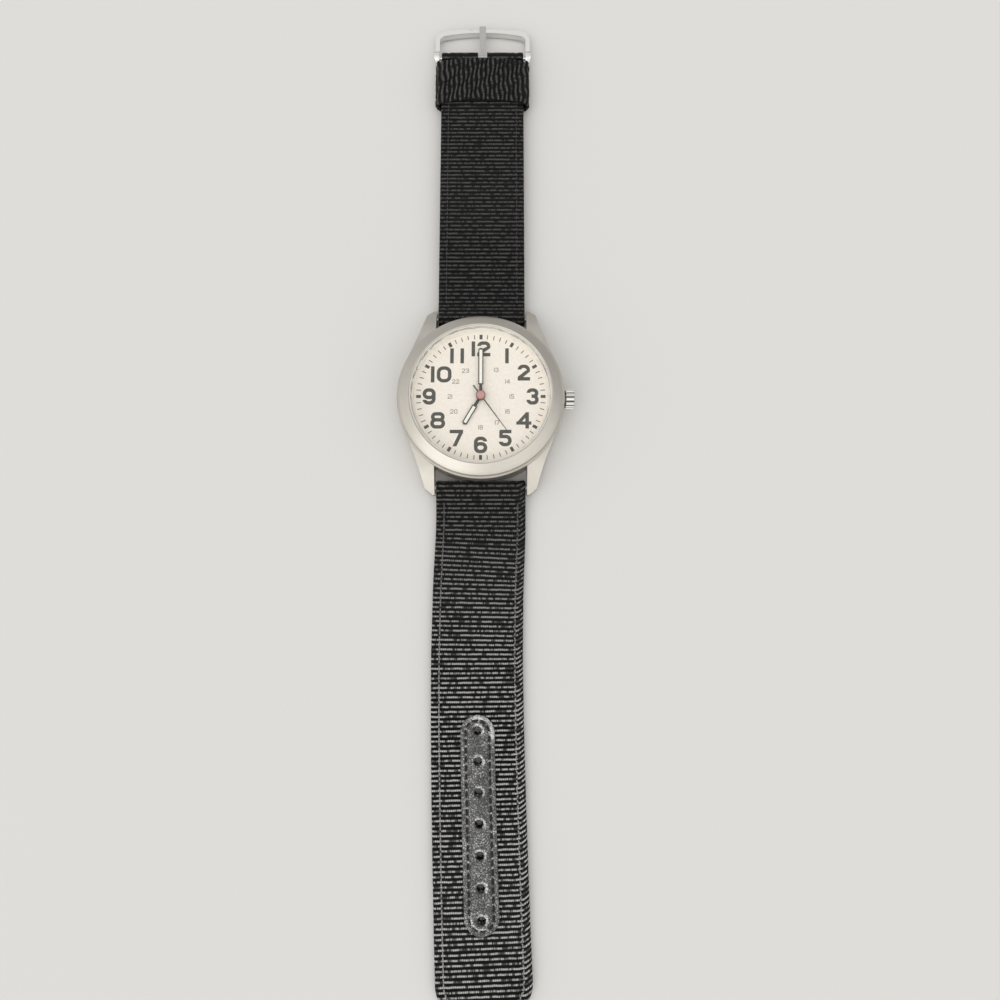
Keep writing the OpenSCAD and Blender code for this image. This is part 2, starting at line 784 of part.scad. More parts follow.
// Outline of an hour or minute hand pointing at 12, with its neck and boss
module hand_outline(length, boss) {
    circle(boss);
    translate([-neck_w / 2, 0]) square([neck_w, lume_from]);
    polygon([[-hand_w / 2, lume_from - hand_edge], [hand_w / 2, lume_from - hand_edge],
             [hand_w / 2, length - 0.3], [hand_w / 4, length], [-hand_w / 4, length], [-hand_w / 2, length - 0.3]]);
}

module lume_outline(length) {
    translate([-hand_w / 2 + hand_edge, lume_from])
        square([hand_w - 2 * hand_edge, length - lume_from - 1.6 * hand_edge]);
}

module hand(length, z, at, boss, bore) {
    translate([0, 0, z]) rotate(at) linear_extrude(hand_t) difference() {
        hand_outline(length, boss);
        lume_outline(length);
        circle(bore);
    }
}

module hand_lume(length, z, at) {
    translate([0, 0, z + 0.02]) rotate(at) linear_extrude(hand_t - 0.04) lume_outline(length);
}

module hour_hand() { color("#23251f") hand(hour_len, hour_hand_z, hour_at, hour_pipe_r + 0.35, hour_pipe_r); }
module hour_hand_lume() { color("#f2f2e6") hand_lume(hour_len, hour_hand_z, hour_at); }
module minute_hand() { color("#23251f") hand(minute_len, minute_hand_z, 0, cannon_r + 0.4, cannon_r); }
module minute_hand_lume() { color("#f2f2e6") hand_lume(minute_len, minute_hand_z, 0); }

module second_hand() {
    color("#b03a36") difference() {
        union() {
            rod(hub_r, second_hand_z, second_hand_z + hub_t);
            translate([0, 0, second_hand_z]) rotate(second_at) linear_extrude(needle_t)
                polygon([[-0.18, -tail_len], [0.18, -tail_len], [0.18, 0], [0.07, second_len], [-0.07, second_len],
                         [-0.18, 0]]);
        }
        rod(arbor_r, 0, second_hand_z + hub_t - 0.1);
    }
}

module clutch_wheel() {
    color("#a9a9ad") translate([0, 0, stem_z]) difference() {
        rotate([0, 90, 0]) {
            gear(clutch_teeth, set_m, clutch_x, clutch_w, 180, play = 2 * tooth_play);
            rod(0.8, clutch_x, clutch_x + clutch_w + hub_w);
        }
        translate([0, -square_w / 2 - run, -square_w / 2 - run])
            cube([move_r, square_w + 2 * run, square_w + 2 * run]);
    }
}

module winding_stem() {
    color("#9c9ca2") translate([0, 0, stem_z]) difference() {
        union() {
            rod_x(stem_pivot_r, stem_in, shoulder_x + 0.1);
            translate([shoulder_x, -square_w / 2, -square_w / 2]) cube([bearing_x[0] - shoulder_x, square_w, square_w]);
            rod_x(stem_r, bearing_x[0], stem_out);
        }
        translate([groove_x - groove_w / 2, 0, 0]) difference() {
            rod_x(stem_r + past, 0, groove_w);
            rod_x(groove_r, -past, groove_w + past);
        }
    }
}

module crown() {
    color("#cfccc4") translate([0, 0, stem_z]) difference() {
        rotate([0, 90, 0]) translate([0, 0, crown_x]) rotate_extrude()
            polygon([[0, 0], [crown_r - 0.25, 0], [crown_r, 0.25], [crown_r, crown_len - 0.35],
                     [crown_r - 0.35, crown_len - 0.1], [crown_r - 0.9, crown_len], [0, crown_len]]);
        rod_x(recess_r, crown_x - past, recess_x);
        rod_x(stem_r, crown_x, stem_out);
        for (i = [0 : crown_flutes - 1]) rotate([i * 360 / crown_flutes, 0, 0])
            translate([0, 0, crown_r + 0.12]) rod_x(0.36, crown_x - past, crown_x + crown_len + past);
    }
}

module crown_gasket() {
    color("#202020") translate([0, 0, stem_z]) difference() {
        rod_x(recess_r, seal_x, seal_x + seal_t);
        rod_x(tube_r + run, seal_x - past, seal_x + past);
    }
}

module setting_lever() {
    nose = [-2.7, 0.6];
    color("#a2a2a6") translate([groove_x, 0, 0]) {
        translate([0, 0, set_z]) linear_extrude(gear_t) difference() {
            union() {
                translate([0, lever_arm]) circle(stud_r + 0.25);
                translate([-0.4, 0]) square([0.8, lever_arm]);
                circle(0.4);
                translate([nose[0], lever_arm - 0.4]) square([-nose[0], 0.8]);
            }
            translate([0, lever_arm]) circle(stud_r + run);
        }
        rod(lever_pin_r, stem_z + groove_r + 0.05, set_z + gear_t / 2);
    }
}

module yoke() {
    d = [set_x, 0] - yoke_p;
    color("#a2a2a6") difference() {
        union() {
            translate([yoke_p[0], yoke_p[1], yoke_z]) linear_extrude(gear_t) {
                circle(stud_r + 0.4);
                translate(d) circle(0.6);
                rotate(atan2(d[1], d[0])) translate([0, -yoke_w / 2]) square([norm(d), yoke_w]);
                translate([0, -0.3]) square([1.9, 0.6]);
            }
            translate([set_x, 0]) rod(0.25, set_z - 0.02, yoke_z + gear_t);
        }
        translate(yoke_p) rod(stud_r + run, 0, dial_seat);
    }
}

module setting_wheel() {
    color("#b9b9bd") translate([set_x, 0])
        gear(set_teeth, set_m, set_z, gear_t, 180 / set_teeth, 0.25 + run, 2 * tooth_play);
}

// Side view of a strap from its loop round the spring bar: a wedge to the flat run at heights low to low + strap_t
module strap_side(low, flat_from, flat_to) {
    translate([bar_y, bar_z]) circle(loop_r);
    polygon([[bar_y, bar_z - loop_r], [flat_from, low], [flat_from, low + strap_t], [bar_y, bar_z + loop_r]]);
    translate([flat_from, low]) square([flat_to - flat_from, strap_t]);
}

// Carries a side view drawn in the YZ plane across the strap
module across(width) {
    rotate([90, 0, 90]) translate([0, 0, -width / 2]) linear_extrude(width) children();
}

module strap_upper() {
    color("#26262a") difference() {
        across(strap_w) difference() {
            union() {
                strap_side(bar_z - strap_t / 2, bar_y + loop_blend, pin_y - end_loop_r);
                translate([pin_y, bar_z]) circle(end_loop_r);
                polygon([[end_blend_y, bar_z - strap_t / 2], [pin_y, bar_z - end_loop_r],
                         [pin_y, bar_z + end_loop_r], [end_blend_y, bar_z + strap_t / 2]]);
            }
            translate([bar_y, bar_z]) circle(bar_r + run);
            translate([pin_y, bar_z]) circle(pin_r + 0.02);
        }
        translate([-slot_w / 2, slot_y, 0]) cube([slot_w, 4 * end_loop_r, bar_z + 2 * end_loop_r]);
    }
}

module strap_plan() {
    half = strap_w / 2;
    difference() {
        translate([-half, 0]) square([strap_w, strap_tip]);
        mirrored_x() translate([half - tip_r, strap_tip - tip_r]) difference() {
            square(tip_r + past);
            circle(tip_r);
        }
    }
}

module hole_row(z0, z1) {
    for (i = [0 : hole_count - 1]) translate([0, hole_y + i * hole_pitch]) rod(hole_r, z0, z1);
}

module strap_lower() {
    color("#26262a") mirror([0, 1, 0]) difference() {
        intersection() {
            across(strap_w) difference() {
                strap_side(0, bar_y + drop_run, strap_tip);
                translate([bar_y, bar_z]) circle(bar_r + run);
            }
            linear_extrude(bar_z + 2 * loop_r) strap_plan();
        }
        hole_row(-past, strap_t + past);
    }
}

// A long bar with full round ends, from y0 to y1
module long_round(width, y0, y1) {
    for (y = [y0 + width / 2, y1 - width / 2]) translate([0, y]) circle(width / 2);
    translate([-width / 2, y0 + width / 2]) square([width, y1 - y0 - width]);
}

module hole_patch() {
    color("#1c1c1e") mirror([0, 1, 0]) difference() {
        union() {
            translate([0, 0, strap_t]) linear_extrude(patch_t) long_round(patch_w, patch_from, patch_to);
            translate([0, 0, strap_t + patch_t]) linear_extrude(panel_t)
                long_round(patch_w - 2 * patch_margin, patch_from + patch_margin, patch_to - patch_margin);
        }
        hole_row(0, strap_t + 3);
    }
}

// A slack band: flat over and under the strap, with its sides bulging out past the strap's edges
module keeper() {
    in_h = strap_t + 2 * keeper_air;
    out_h = in_h + 2 * keeper_t;
    half = strap_w / 2 + keeper_side;
    color("#2b2b30") translate([0, keeper_y, bar_z]) rotate([90, 0, 0]) linear_extrude(keeper_len)
        rotate(-90) difference() {
            long_round(out_h, -half - keeper_t, half + keeper_t);
            long_round(in_h, -half, half);
        }
}

module buckle_pin() {
    color("#b5b5b5") translate([0, pin_y, bar_z]) {
        rod_x(pin_r, -strap_w / 2 - 0.1, strap_w / 2 + 0.1);
        rod_x(ear_pin_r, -buckle_w / 2 + 0.2, buckle_w / 2 - 0.2);
    }
}

// Places what is drawn round the buckle pin, dropped so that the far bar comes down near the table
module at_pin() {
    translate([0, pin_y, bar_z]) rotate([-buckle_drop, 0, 0]) children();
}

// What is left of a corner outside a circle of radius r that meets the side at x and a wide arc round
// [arc_x, arc_y] of radius arc_r. The circle stands meet proud of the arc, so that the two cross.
module corner_cut(x, r, arc_x, arc_y, arc_r) {
    reach_x = x - r - arc_x;
    meet = 0.01;
    translate([x - r, arc_y + sqrt(pow(arc_r - r, 2) - pow(reach_x, 2)) + meet]) difference() {
        translate([r * reach_x / (arc_r - r), 0]) square(r + past);
        circle(r);
    }
}

// Outer outline of the buckle from its pin. The far bar has two shallow bows that meet at the tang.
module buckle_outline() {
    half = buckle_w / 2;
    difference() {
        intersection() {
            translate([-half, 0]) square([buckle_w, buckle_reach + past]);
            for (side = [-1, 1]) translate([side * bow_x, buckle_reach - bow_r]) circle(bow_r);
        }
        mirrored_x() corner_cut(half, buckle_corner, bow_x, buckle_reach - bow_r, bow_r);
    }
}

// Opening between the arms. Its far side is one wide arc, so that the bar thins towards the tang.
module buckle_opening() {
    arc_y = buckle_reach - buckle_bar - sqrt(pow(inner_bow_r, 2) - pow(bow_x, 2));
    difference() {
        intersection() {
            translate([-buckle_in, -past]) square([2 * buckle_in, buckle_reach]);
            translate([0, arc_y]) circle(inner_bow_r);
        }
        mirrored_x() corner_cut(buckle_in, inner_corner, 0, arc_y, inner_bow_r);
    }
}

// Each ear is a round plate, thickest at the pin
module buckle_frame() {
    half = buckle_w / 2;
    color("#dcdad6") at_pin() difference() {
        union() {
            translate([0, 0, -arm_h / 2]) linear_extrude(arm_h) difference() {
                buckle_outline();
                buckle_opening();
            }
            mirrored_x() intersection() {
                rod_x(ear_r, buckle_in, half + ear_bulge);
                translate([half + ear_bulge - ear_round, 0]) rod(ear_round, -ear_r - past, ear_r + past);
            }
        }
        rod_x(ear_pin_r + run, -buckle_w, buckle_w);
    }
}

// Plan of the tang: it widens from its loop to the bar and ends in a rounded tip
module tang_plan() {
    intersection() {
        polygon([[-tang_root_w / 2, -tang_loop_r], [tang_root_w / 2, -tang_loop_r], [tang_root_w / 2, tang_loop_r],
                 [tang_w / 2, buckle_reach - 3], [tang_w / 2, tang_tip + past], [-tang_w / 2, tang_tip + past],
                 [-tang_w / 2, buckle_reach - 3], [-tang_root_w / 2, tang_loop_r]]);
        union() {
            translate([-tang_w, -tang_w]) square([2 * tang_w, tang_w + tang_tip - tang_round]);
            translate([0, tang_tip - tang_round]) circle(tang_round);
        }
    }
}

module buckle_tang() {
    rest = arm_h / 2;
    color("#d4d2cd") at_pin() intersection() {
        across(tang_w) difference() {
            union() {
                circle(tang_loop_r);
                polygon([[0, tang_loop_r], [0, rest], [2, rest], [tang_tip - tang_nose, rest],
                         [tang_tip, rest + tang_nose], [tang_tip - tang_nose, rest + tang_t],
                         [2, rest + tang_t]]);
            }
            circle(pin_r + run);
        }
        translate([0, 0, -past - tang_loop_r]) linear_extrude(4 * tang_loop_r) tang_plan();
    }
}

case_body();
bezel();
crystal();
crystal_gasket();
rehaut_ring();
case_back();
case_back_gasket();
crown_tube();
dial();
movement_holder();
main_plate();
train_bridge();
stator();
coil();
coil_core();
circuit_board();
quartz_can();
button_cell();
cell_clamp();
movement_screws();
spring_bar_12();
spring_bar_6();
bar_spring_12();
bar_spring_6();
bar_tip_12_left();
bar_tip_12_right();
bar_tip_6_left();
bar_tip_6_right();
rotor();
fifth_wheel();
fourth_wheel();
third_wheel();
centre_wheel();
cannon_pinion();
minute_wheel();
hour_wheel();
hour_hand();
hour_hand_lume();
minute_hand();
minute_hand_lume();
second_hand();
clutch_wheel();
winding_stem();
crown();
crown_gasket();
setting_lever();
yoke();
setting_wheel();
strap_upper();
buckle_pin();
keeper();
buckle_frame();
buckle_tang();
strap_lower();
hole_patch();
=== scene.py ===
"""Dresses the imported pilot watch: webbing, leather patch, printed dial, finishes and stage."""
import json

import bpy
import numpy as np
from bpy.props import FloatProperty, FloatVectorProperty, IntProperty, PointerProperty
from bpy.types import Operator, Panel, PropertyGroup
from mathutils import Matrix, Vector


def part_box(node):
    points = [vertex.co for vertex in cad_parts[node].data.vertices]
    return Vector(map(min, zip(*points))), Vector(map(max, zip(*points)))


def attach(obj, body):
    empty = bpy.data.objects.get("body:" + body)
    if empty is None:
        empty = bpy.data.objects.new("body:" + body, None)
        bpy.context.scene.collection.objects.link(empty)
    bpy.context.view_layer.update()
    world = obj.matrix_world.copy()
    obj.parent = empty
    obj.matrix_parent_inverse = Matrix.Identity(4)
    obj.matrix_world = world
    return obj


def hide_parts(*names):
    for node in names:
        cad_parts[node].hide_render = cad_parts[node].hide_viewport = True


bl_info = {
    "name": "Pilot watch dressing",
    "version": (1, 0, 0),
    "blender": (4, 5, 0),
    "location": "View3D > Sidebar > Watch",
    "description": "Makes the webbing, leather, printing, finishes and stage round a packed pilot watch",
    "category": "Object",
}

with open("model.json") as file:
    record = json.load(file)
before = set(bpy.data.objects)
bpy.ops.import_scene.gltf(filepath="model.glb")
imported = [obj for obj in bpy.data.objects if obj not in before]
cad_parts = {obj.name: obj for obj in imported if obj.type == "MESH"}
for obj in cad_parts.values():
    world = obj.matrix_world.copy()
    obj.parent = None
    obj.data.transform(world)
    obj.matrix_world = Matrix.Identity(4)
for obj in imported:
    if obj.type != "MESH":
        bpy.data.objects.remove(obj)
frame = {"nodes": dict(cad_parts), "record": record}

MM = 0.001
SEED = 7


def box(node):
    """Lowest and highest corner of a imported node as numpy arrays, in metres."""
    low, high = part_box(node)
    return np.array(low), np.array(high)


def middle(node):
    """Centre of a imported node's box."""
    low, high = box(node)
    return (low + high) / 2


# Sizes that a user would change


def length(label, what, default):
    return FloatProperty(name=label, description=what, default=default, min=0, unit="LENGTH", precision=5)


def colour(label, what, default):
    return FloatVectorProperty(name=label, description=what, default=default, size=3, min=0, max=1,
                               subtype="COLOR")


def strength(label, what, default):
    return FloatProperty(name=label, description=what, default=default, min=0)


class WebbingSizes(PropertyGroup):
    ply: length("Ply", "Thickness of one ply of webbing over its ribs", 1.0 * MM)
    rib_pitch: length("Rib pitch", "Distance from one rib to the next", 1.07 * MM)
    rib_depth: length("Rib depth", "Depth of the gap between two ribs", 0.4 * MM)
    yarn_pitch: length("Yarn pitch", "Distance between the yarns that cross a rib", 0.47 * MM)
    stitch_inset: length("Stitch inset", "Distance of the stitching from the edge", 1.9 * MM)
    stitch_pitch: length("Stitch pitch", "Distance from one stitch to the next", 1.07 * MM)
    thread: length("Thread", "Width of the sewing thread", 0.34 * MM)
    # Painted light: the rib colour is a painted highlight on the ribs' tops, and the gap colour is painted
    # shade between them
    rib_colour: colour("Ribs", "Colour on top of the ribs", (0.5, 0.5, 0.48))
    gap_colour: colour("Gaps", "Colour between the ribs", (0.003, 0.003, 0.003))
    thread_colour: colour("Thread colour", "Colour of the sewing thread", (0.34, 0.34, 0.325))


class PatchSizes(PropertyGroup):
    holes: IntProperty(name="Holes", description="Number of buckle holes", default=7, min=1, max=9)
    hole: length("Hole", "Radius of a buckle hole", 0.9 * MM)
    hole_end: length("First hole", "Distance of the first hole from the end of the patch", 3.4 * MM)
    groove: length("Groove", "Distance of the sewn groove from the edge of the patch", 1.2 * MM)
    leather: colour("Leather", "Colour of the leather", (0.03, 0.03, 0.03))
    # The scuffed colour serves for real wear and also as painted highlight where the patch catches light
    scuff: colour("Scuffed leather", "Colour of the leather where it is rubbed", (0.8, 0.8, 0.78))


class DialSizes(PropertyGroup):
    stroke: length("Stroke", "Width of the strokes of an hour numeral", 0.84 * MM)
    small_h: length("Small numeral height", "Height of the 24-hour numerals", 1.08 * MM)
    small_w: length("Small numeral width", "Width of a 24-hour numeral's digit", 0.8 * MM)
    small_stroke: length("Small stroke", "Width of the strokes of a 24-hour numeral", 0.16 * MM)
    small_ring: length("Small numeral ring", "Radius at which the 24-hour numerals stand", 7.35 * MM)
    track: length("Minute track", "Outer radius of the minute track", 15.35 * MM)
    block: length("Hour block", "Length of an hour block", 1.15 * MM)
    block_w: length("Hour block width", "Width of an hour block", 0.72 * MM)
    tick_w: length("Tick width", "Width of a minute tick", 0.18 * MM)
    ink_t: length("Ink", "Thickness of the printed ink", 0.025 * MM)
    paint: colour("Dial", "Colour of the dial", (0.86, 0.8, 0.71))
    ink: colour("Ink colour", "Colour of the hour numerals", (0.065, 0.06, 0.05))
    faint: colour("Faint ink", "Colour of the 24-hour numerals", (0.3, 0.27, 0.235))


class MetalSizes(PropertyGroup):
    steel: colour("Steel", "Colour of the case steel", (0.57, 0.54, 0.485))
    bright: colour("Polished steel", "Colour of the polished steel", (0.78, 0.77, 0.74))
    brass: colour("Brass", "Colour of the wheels", (0.72, 0.52, 0.22))
    grain: length("Grain", "Size of the grain of the blasted steel", 0.09 * MM)


class StageSizes(PropertyGroup):
    floor: colour("Floor", "Colour of the floor", (0.7, 0.69, 0.67))
    key: strength("Key light", "Strength of the main light", 0.42)
    fill: strength("Fill light", "Strength of the light in front", 0.2)
    far: strength("Far light", "Strength of the light beyond the buckle", 0.05)


# Shader maths


class Wire:
    """A shader socket on which arithmetic adds Math nodes."""

    def __init__(self, paint, socket):
        self.paint = paint
        self.socket = socket

    def math(self, operation, *values):
        return self.paint.wire("ShaderNodeMath", {"operation": operation}, dict(enumerate((self, *values))))

    def __add__(self, other):
        return self.math("ADD", other)

    def __sub__(self, other):
        return self.math("SUBTRACT", other)

    def __rsub__(self, other):
        return self.paint.wire("ShaderNodeMath", {"operation": "SUBTRACT"}, {0: other, 1: self})

    def __mul__(self, other):
        return self.math("MULTIPLY", other)

    def __truediv__(self, other):
        return self.math("DIVIDE", other)

    def __pow__(self, other):
        return self.math("POWER", other)

    __radd__ = __add__
    __rmul__ = __mul__

    def wave(self):
        """0 at whole numbers and 1 half-way between them, as a rounded hump."""
        return (self * np.pi).math("SINE").math("ABSOLUTE")

    def step(self, low, high):
        """0 below low, 1 above high, smooth in between."""
        return self.paint.wire("ShaderNodeMapRange", {"interpolation_type": "SMOOTHSTEP"},
                               {"Value": self, "From Min": low, "From Max": high})

    def over(self, least):
        """least where this is 0, and 1 where it is 1."""
        return least + (1 - least) * self


class Paint:
    """The node tree of one material, or of the world."""

    def __init__(self, name, world=None):
        self.material = world or bpy.data.materials.new(name)
        self.material.use_nodes = True
        self.tree = self.material.node_tree
        self.tree.nodes.clear()

    def node(self, kind, settings=None, inputs=None):
        """Adds a node: its settings first, then the values or links of its sockets."""
        made = self.tree.nodes.new(kind)
        for name, value in (settings or {}).items():
            setattr(made, name, value)
        for key, value in (inputs or {}).items():
            if isinstance(value, Wire):
                self.tree.links.new(value.socket, made.inputs[key])
            else:
                made.inputs[key].default_value = value
        return made

    def wire(self, kind, settings=None, inputs=None, output=0):
        return Wire(self, self.node(kind, settings, inputs).outputs[output])

    def place(self):
        """Object coordinates, in metres."""
        return self.wire("ShaderNodeTexCoord", output="Object")

    def parts(self, vector):
        """The three numbers of a vector."""
        split = self.node("ShaderNodeSeparateXYZ", inputs={0: vector})
        return [Wire(self, s) for s in split.outputs]

    def joined(self, *numbers):
        return self.wire("ShaderNodeCombineXYZ", inputs=dict(enumerate(numbers)))

    def noise(self, vector, size, detail=2.0, rough=0.5):
        """Noise from 0 to 1 whose lumps are about size across."""
        return self.wire("ShaderNodeTexNoise",
                         inputs={"Vector": vector, "Scale": 1 / size, "Detail": detail, "Roughness": rough})

    def grain(self, size, detail=3.0):
        """Noise all through the piece."""
        return self.noise(self.place(), size, detail)

    def cells(self, vector, size):
        """Distance to the nearest cell edge of a pebbled surface."""
        return self.wire("ShaderNodeTexVoronoi", {"feature": "DISTANCE_TO_EDGE"},
                         {"Vector": vector, "Scale": 1 / size})

    def mix(self, share, first, second):
        """Colour first where share is 0 and second where it is 1."""
        pair = [c if isinstance(c, Wire) else (*c, 1) for c in (first, second)]
        return self.wire("ShaderNodeMix", {"data_type": "RGBA"}, {0: share, 6: pair[0], 7: pair[1]}, output=2)

    def finish(self, base, rough, height=None, depth=0.0, **inputs):
        """Ends the tree in one Principled shader, with a bump of the given height and depth in metres."""
        sockets = {"Base Color": base if isinstance(base, Wire) else (*base, 1), "Roughness": rough}
        sockets.update({k.replace("_", " "): v for k, v in inputs.items()})
        if height is not None:
            sockets["Normal"] = self.wire("ShaderNodeBump", inputs={"Distance": depth, "Height": height})
        shader = self.wire("ShaderNodeBsdfPrincipled", inputs=sockets)
        self.node("ShaderNodeOutputMaterial", inputs={"Surface": shader})
        return self.material


# Finishes


def mixed(colour, share):
    """A colour scaled towards black or white."""
    return tuple(np.clip(np.array(colour) * share, 0, 1))


def blasted_steel(sizes):
    """Bead-blasted steel: an even fine grain in bump and roughness, a little darker where it is handled."""
    paint = Paint("blasted steel")
    grain, handled = paint.grain(sizes.grain), paint.grain(6 * MM)
    base = paint.mix(handled.step(0.3, 0.7), mixed(sizes.steel, 0.93), mixed(sizes.steel, 1.05))
    return paint.finish(base, 0.36 + 0.14 * grain, grain, 0.012 * MM, Metallic=1.0)


def brushed_steel(sizes, ledge_paint_and_light):
    """Satin steel brushed round the dial: noise that runs long round the axis and short across it. The ledge
    under the crystal's edge is painted pale and not metal, which also stands in as painted light where the
    steel ledge would be in shade."""
    line_long, line_wide, cloud_long, cloud_wide, soft = 1.4 * MM, 0.045 * MM, 4 * MM, 0.4 * MM, 0.01 * MM
    paint = Paint("brushed steel")
    x, y, z = paint.parts(paint.place())
    radius = (x * x + y * y) ** 0.5
    angle = y.math("ARCTAN2", x).math("ABSOLUTE")
    lines = paint.noise(paint.joined(radius, angle * line_long, z), line_wide, 2.0)
    broad = paint.noise(paint.joined(radius, angle * cloud_long, z), cloud_wide, 2.0)
    base = paint.mix(broad, mixed(sizes.steel, 0.95), mixed(sizes.steel, 1.06))
    rim = box("crystal_gasket")[1][0]
    metal = radius.step(rim - 3 * soft, rim - soft)
    # the ledge is painted pale: a paint colour that also stands in as painted light on the shaded ledge
    base = paint.mix(metal, ledge_paint_and_light, base)
    return paint.finish(base, 0.27 + 0.16 * lines, lines, 0.006 * MM, Metallic=metal)


def polished_steel(name, tone):
    """Polished steel with hairline scratches."""
    paint = Paint(name)
    drawn = paint.wire("ShaderNodeMapping", inputs={"Vector": paint.place(), "Scale": (1, 9, 9)})
    scratches = paint.noise(drawn, 0.5 * MM, 4.0)
    base = paint.mix(paint.grain(2.5 * MM, 2.0), mixed(tone, 0.94), tone)
    return paint.finish(base, 0.1 + 0.12 * scratches.step(0.45, 0.75), scratches, 0.002 * MM, Metallic=1.0)


def plain_metal(name, tone, rough, size):
    """A machined metal inside the watch, with a fine turned grain."""
    paint = Paint(name)
    grain = paint.grain(size)
    base = paint.mix(grain, mixed(tone, 0.88), mixed(tone, 1.05))
    return paint.finish(base, rough + 0.12 * grain, grain, 0.004 * MM, Metallic=1.0)


def moulded(name, tone, rough, size=0.25 * MM, depth=0.004 * MM, **inputs):
    """A moulded or painted surface with a faint uneven grain."""
    paint = Paint(name)
    grain, tint = paint.grain(size), paint.grain(14 * size, 2.0)
    base = paint.mix(tint.step(0.25, 0.75), mixed(tone, 0.96), mixed(tone, 1.03))
    return paint.finish(base, rough + 0.08 * grain, grain, depth, **inputs)


def second_hand_paint():
    """Pale red on the hub's disc, darker towards its edge with painted shade as on a dome, and dark grey on
    the needle and tail beyond it.
    """
    hub, edge, needle = (0.5, 0.26, 0.24), (0.2, 0.07, 0.06), (0.085, 0.068, 0.052)
    hub_r, soft = 1.16 * MM, 0.01 * MM
    paint = Paint("second hand paint")
    x, y, _ = paint.parts(paint.place())
    radius = (x * x + y * y) ** 0.5
    outside = radius.step(hub_r - soft, hub_r + soft)
    grain = paint.grain(0.1 * MM, 2.0)
    # the disc darkens towards its edge: painted shade of a domed hub
    disc = paint.mix(radius.step(0.62 * hub_r, 0.95 * hub_r), hub, edge)
    base = paint.mix(outside, disc, needle)
    return paint.finish(base, 0.32 + 0.1 * grain, grain, 0.003 * MM, Coat_Weight=0.3)


def crown_steel(sizes):
    """The crown's steel: bright on its flutes and its end, and dull in the grooves between them, which are
    dark with painted shade.
    """
    root_r, crest_r, groove_end, face = 2.06 * MM, 2.17 * MM, 0.9 * MM, 1.05 * MM
    paint = Paint("crown steel")
    x, y, z = paint.parts(paint.place())
    centre = middle("crown")
    radius = ((y - centre[1]) ** 2 + (z - centre[2]) ** 2) ** 0.5
    # dark: painted shade in the grooves between the flutes
    dark = (1 - radius.step(root_r, crest_r)) * (1 - x.step(centre[0] + groove_end, centre[0] + face))
    grain = paint.grain(sizes.grain)
    base = paint.mix(dark, sizes.bright, mixed(sizes.steel, 0.12))
    return paint.finish(base, 0.2 + 0.3 * dark + 0.1 * grain, grain, 0.004 * MM, Metallic=1.0)


def clear_crystal():
    """Mineral glass: only its mirror share is solid, which grows towards grazing angles, and only on its
    outside. Light on its way to the dial isn't held back."""
    paint = Paint("mineral crystal")
    haze = paint.grain(1.5 * MM, 2.0)
    back = paint.wire("ShaderNodeNewGeometry", output="Backfacing")
    rays = paint.node("ShaderNodeLightPath").outputs
    passing = Wire(paint, rays["Is Shadow Ray"]).math("MAXIMUM", Wire(paint, rays["Is Diffuse Ray"]))
    share = paint.wire("ShaderNodeFresnel", inputs={"IOR": 1.45}) * (1 - back) * (1 - passing)
    return paint.finish((1.0, 1.0, 1.0), 0.03 + 0.03 * haze, Metallic=1.0, Alpha=share)


def faded(y):
    """0 on the upper strap and 1 at the lower strap's end: a ramp of painted glare, as the lower strap
    catches more light.
    """
    first, last = 10 * MM, 85 * MM
    return (0 - y).step(first, last)


def webbing(sizes):
    """Ribbed nylon, made on first use. The weave map counts yarns across and ribs along: the top of each rib
    is pale with a painted highlight, the gaps are dark with painted shade, each yarn is a small hump with
    painted shade between yarns, and noise held level along a rib breaks the crest highlight into dashes."""
    name = "ribbed webbing"
    if name in bpy.data.materials:
        return bpy.data.materials[name]
    paint = Paint(name)
    across, along, _ = paint.parts(paint.wire("ShaderNodeUVMap", {"uv_map": "weave"}))
    rib = along.math("FLOOR")

    def lumps(by_yarn, way, by_rib, detail, rough=0.5):
        """Noise with by_yarn lumps a yarn and by_rib a rib."""
        return paint.noise(paint.joined(across * by_yarn, way * by_rib, 0.0), 1.0, detail, rough)

    waver, dash = lumps(0.35, rib, 5.3, 1.0), lumps(0.42, rib, 3.7, 2.0, 0.6)
    fibre = lumps(5, along, 1.5, 3.0)
    crest = (along + 0.22 * (waver - 0.5)).wave()
    yarn = (across + 0.5 * rib).wave()
    # pale: the painted glare ramp, which brightens the crest highlight towards the lower strap's end
    pale = faded(paint.parts(paint.place())[1]).over(0.15)
    # painted light: the crest highlight, broken into dashes, dimmed by painted shade between yarns and lifted
    # by the painted glare ramp
    lit = crest.step(0.7, 0.98) * dash.step(0.4, 0.54).over(0.1) * yarn.over(0.45) * pale
    base = paint.mix(lit * (0.6 + 0.8 * fibre), sizes.gap_colour, sizes.rib_colour)
    height = crest * 0.5 + yarn * crest + fibre * 0.35
    return paint.finish(base, 0.8 - 0.35 * crest + 0.15 * fibre, height, 0.08 * MM, Specular_IOR_Level=0.22)


def sewing_thread(sizes):
    """Twisted thread: strands that slant across the straps, with painted shade between the strands and the
    painted glare ramp of the lower strap.
    """
    paint = Paint("sewing thread")
    strand = 0.16 * MM
    x, y, _ = paint.parts(paint.place())
    twist = ((x + y) / strand).wave()
    # painted shade between the strands, and painted glare towards the lower strap's end
    base = paint.mix(twist.over(0.4) * faded(y).over(0.18), (0.0, 0.0, 0.0), sizes.thread_colour)
    return paint.finish(base, 0.45, twist, 0.03 * MM, Specular_IOR_Level=0.5)


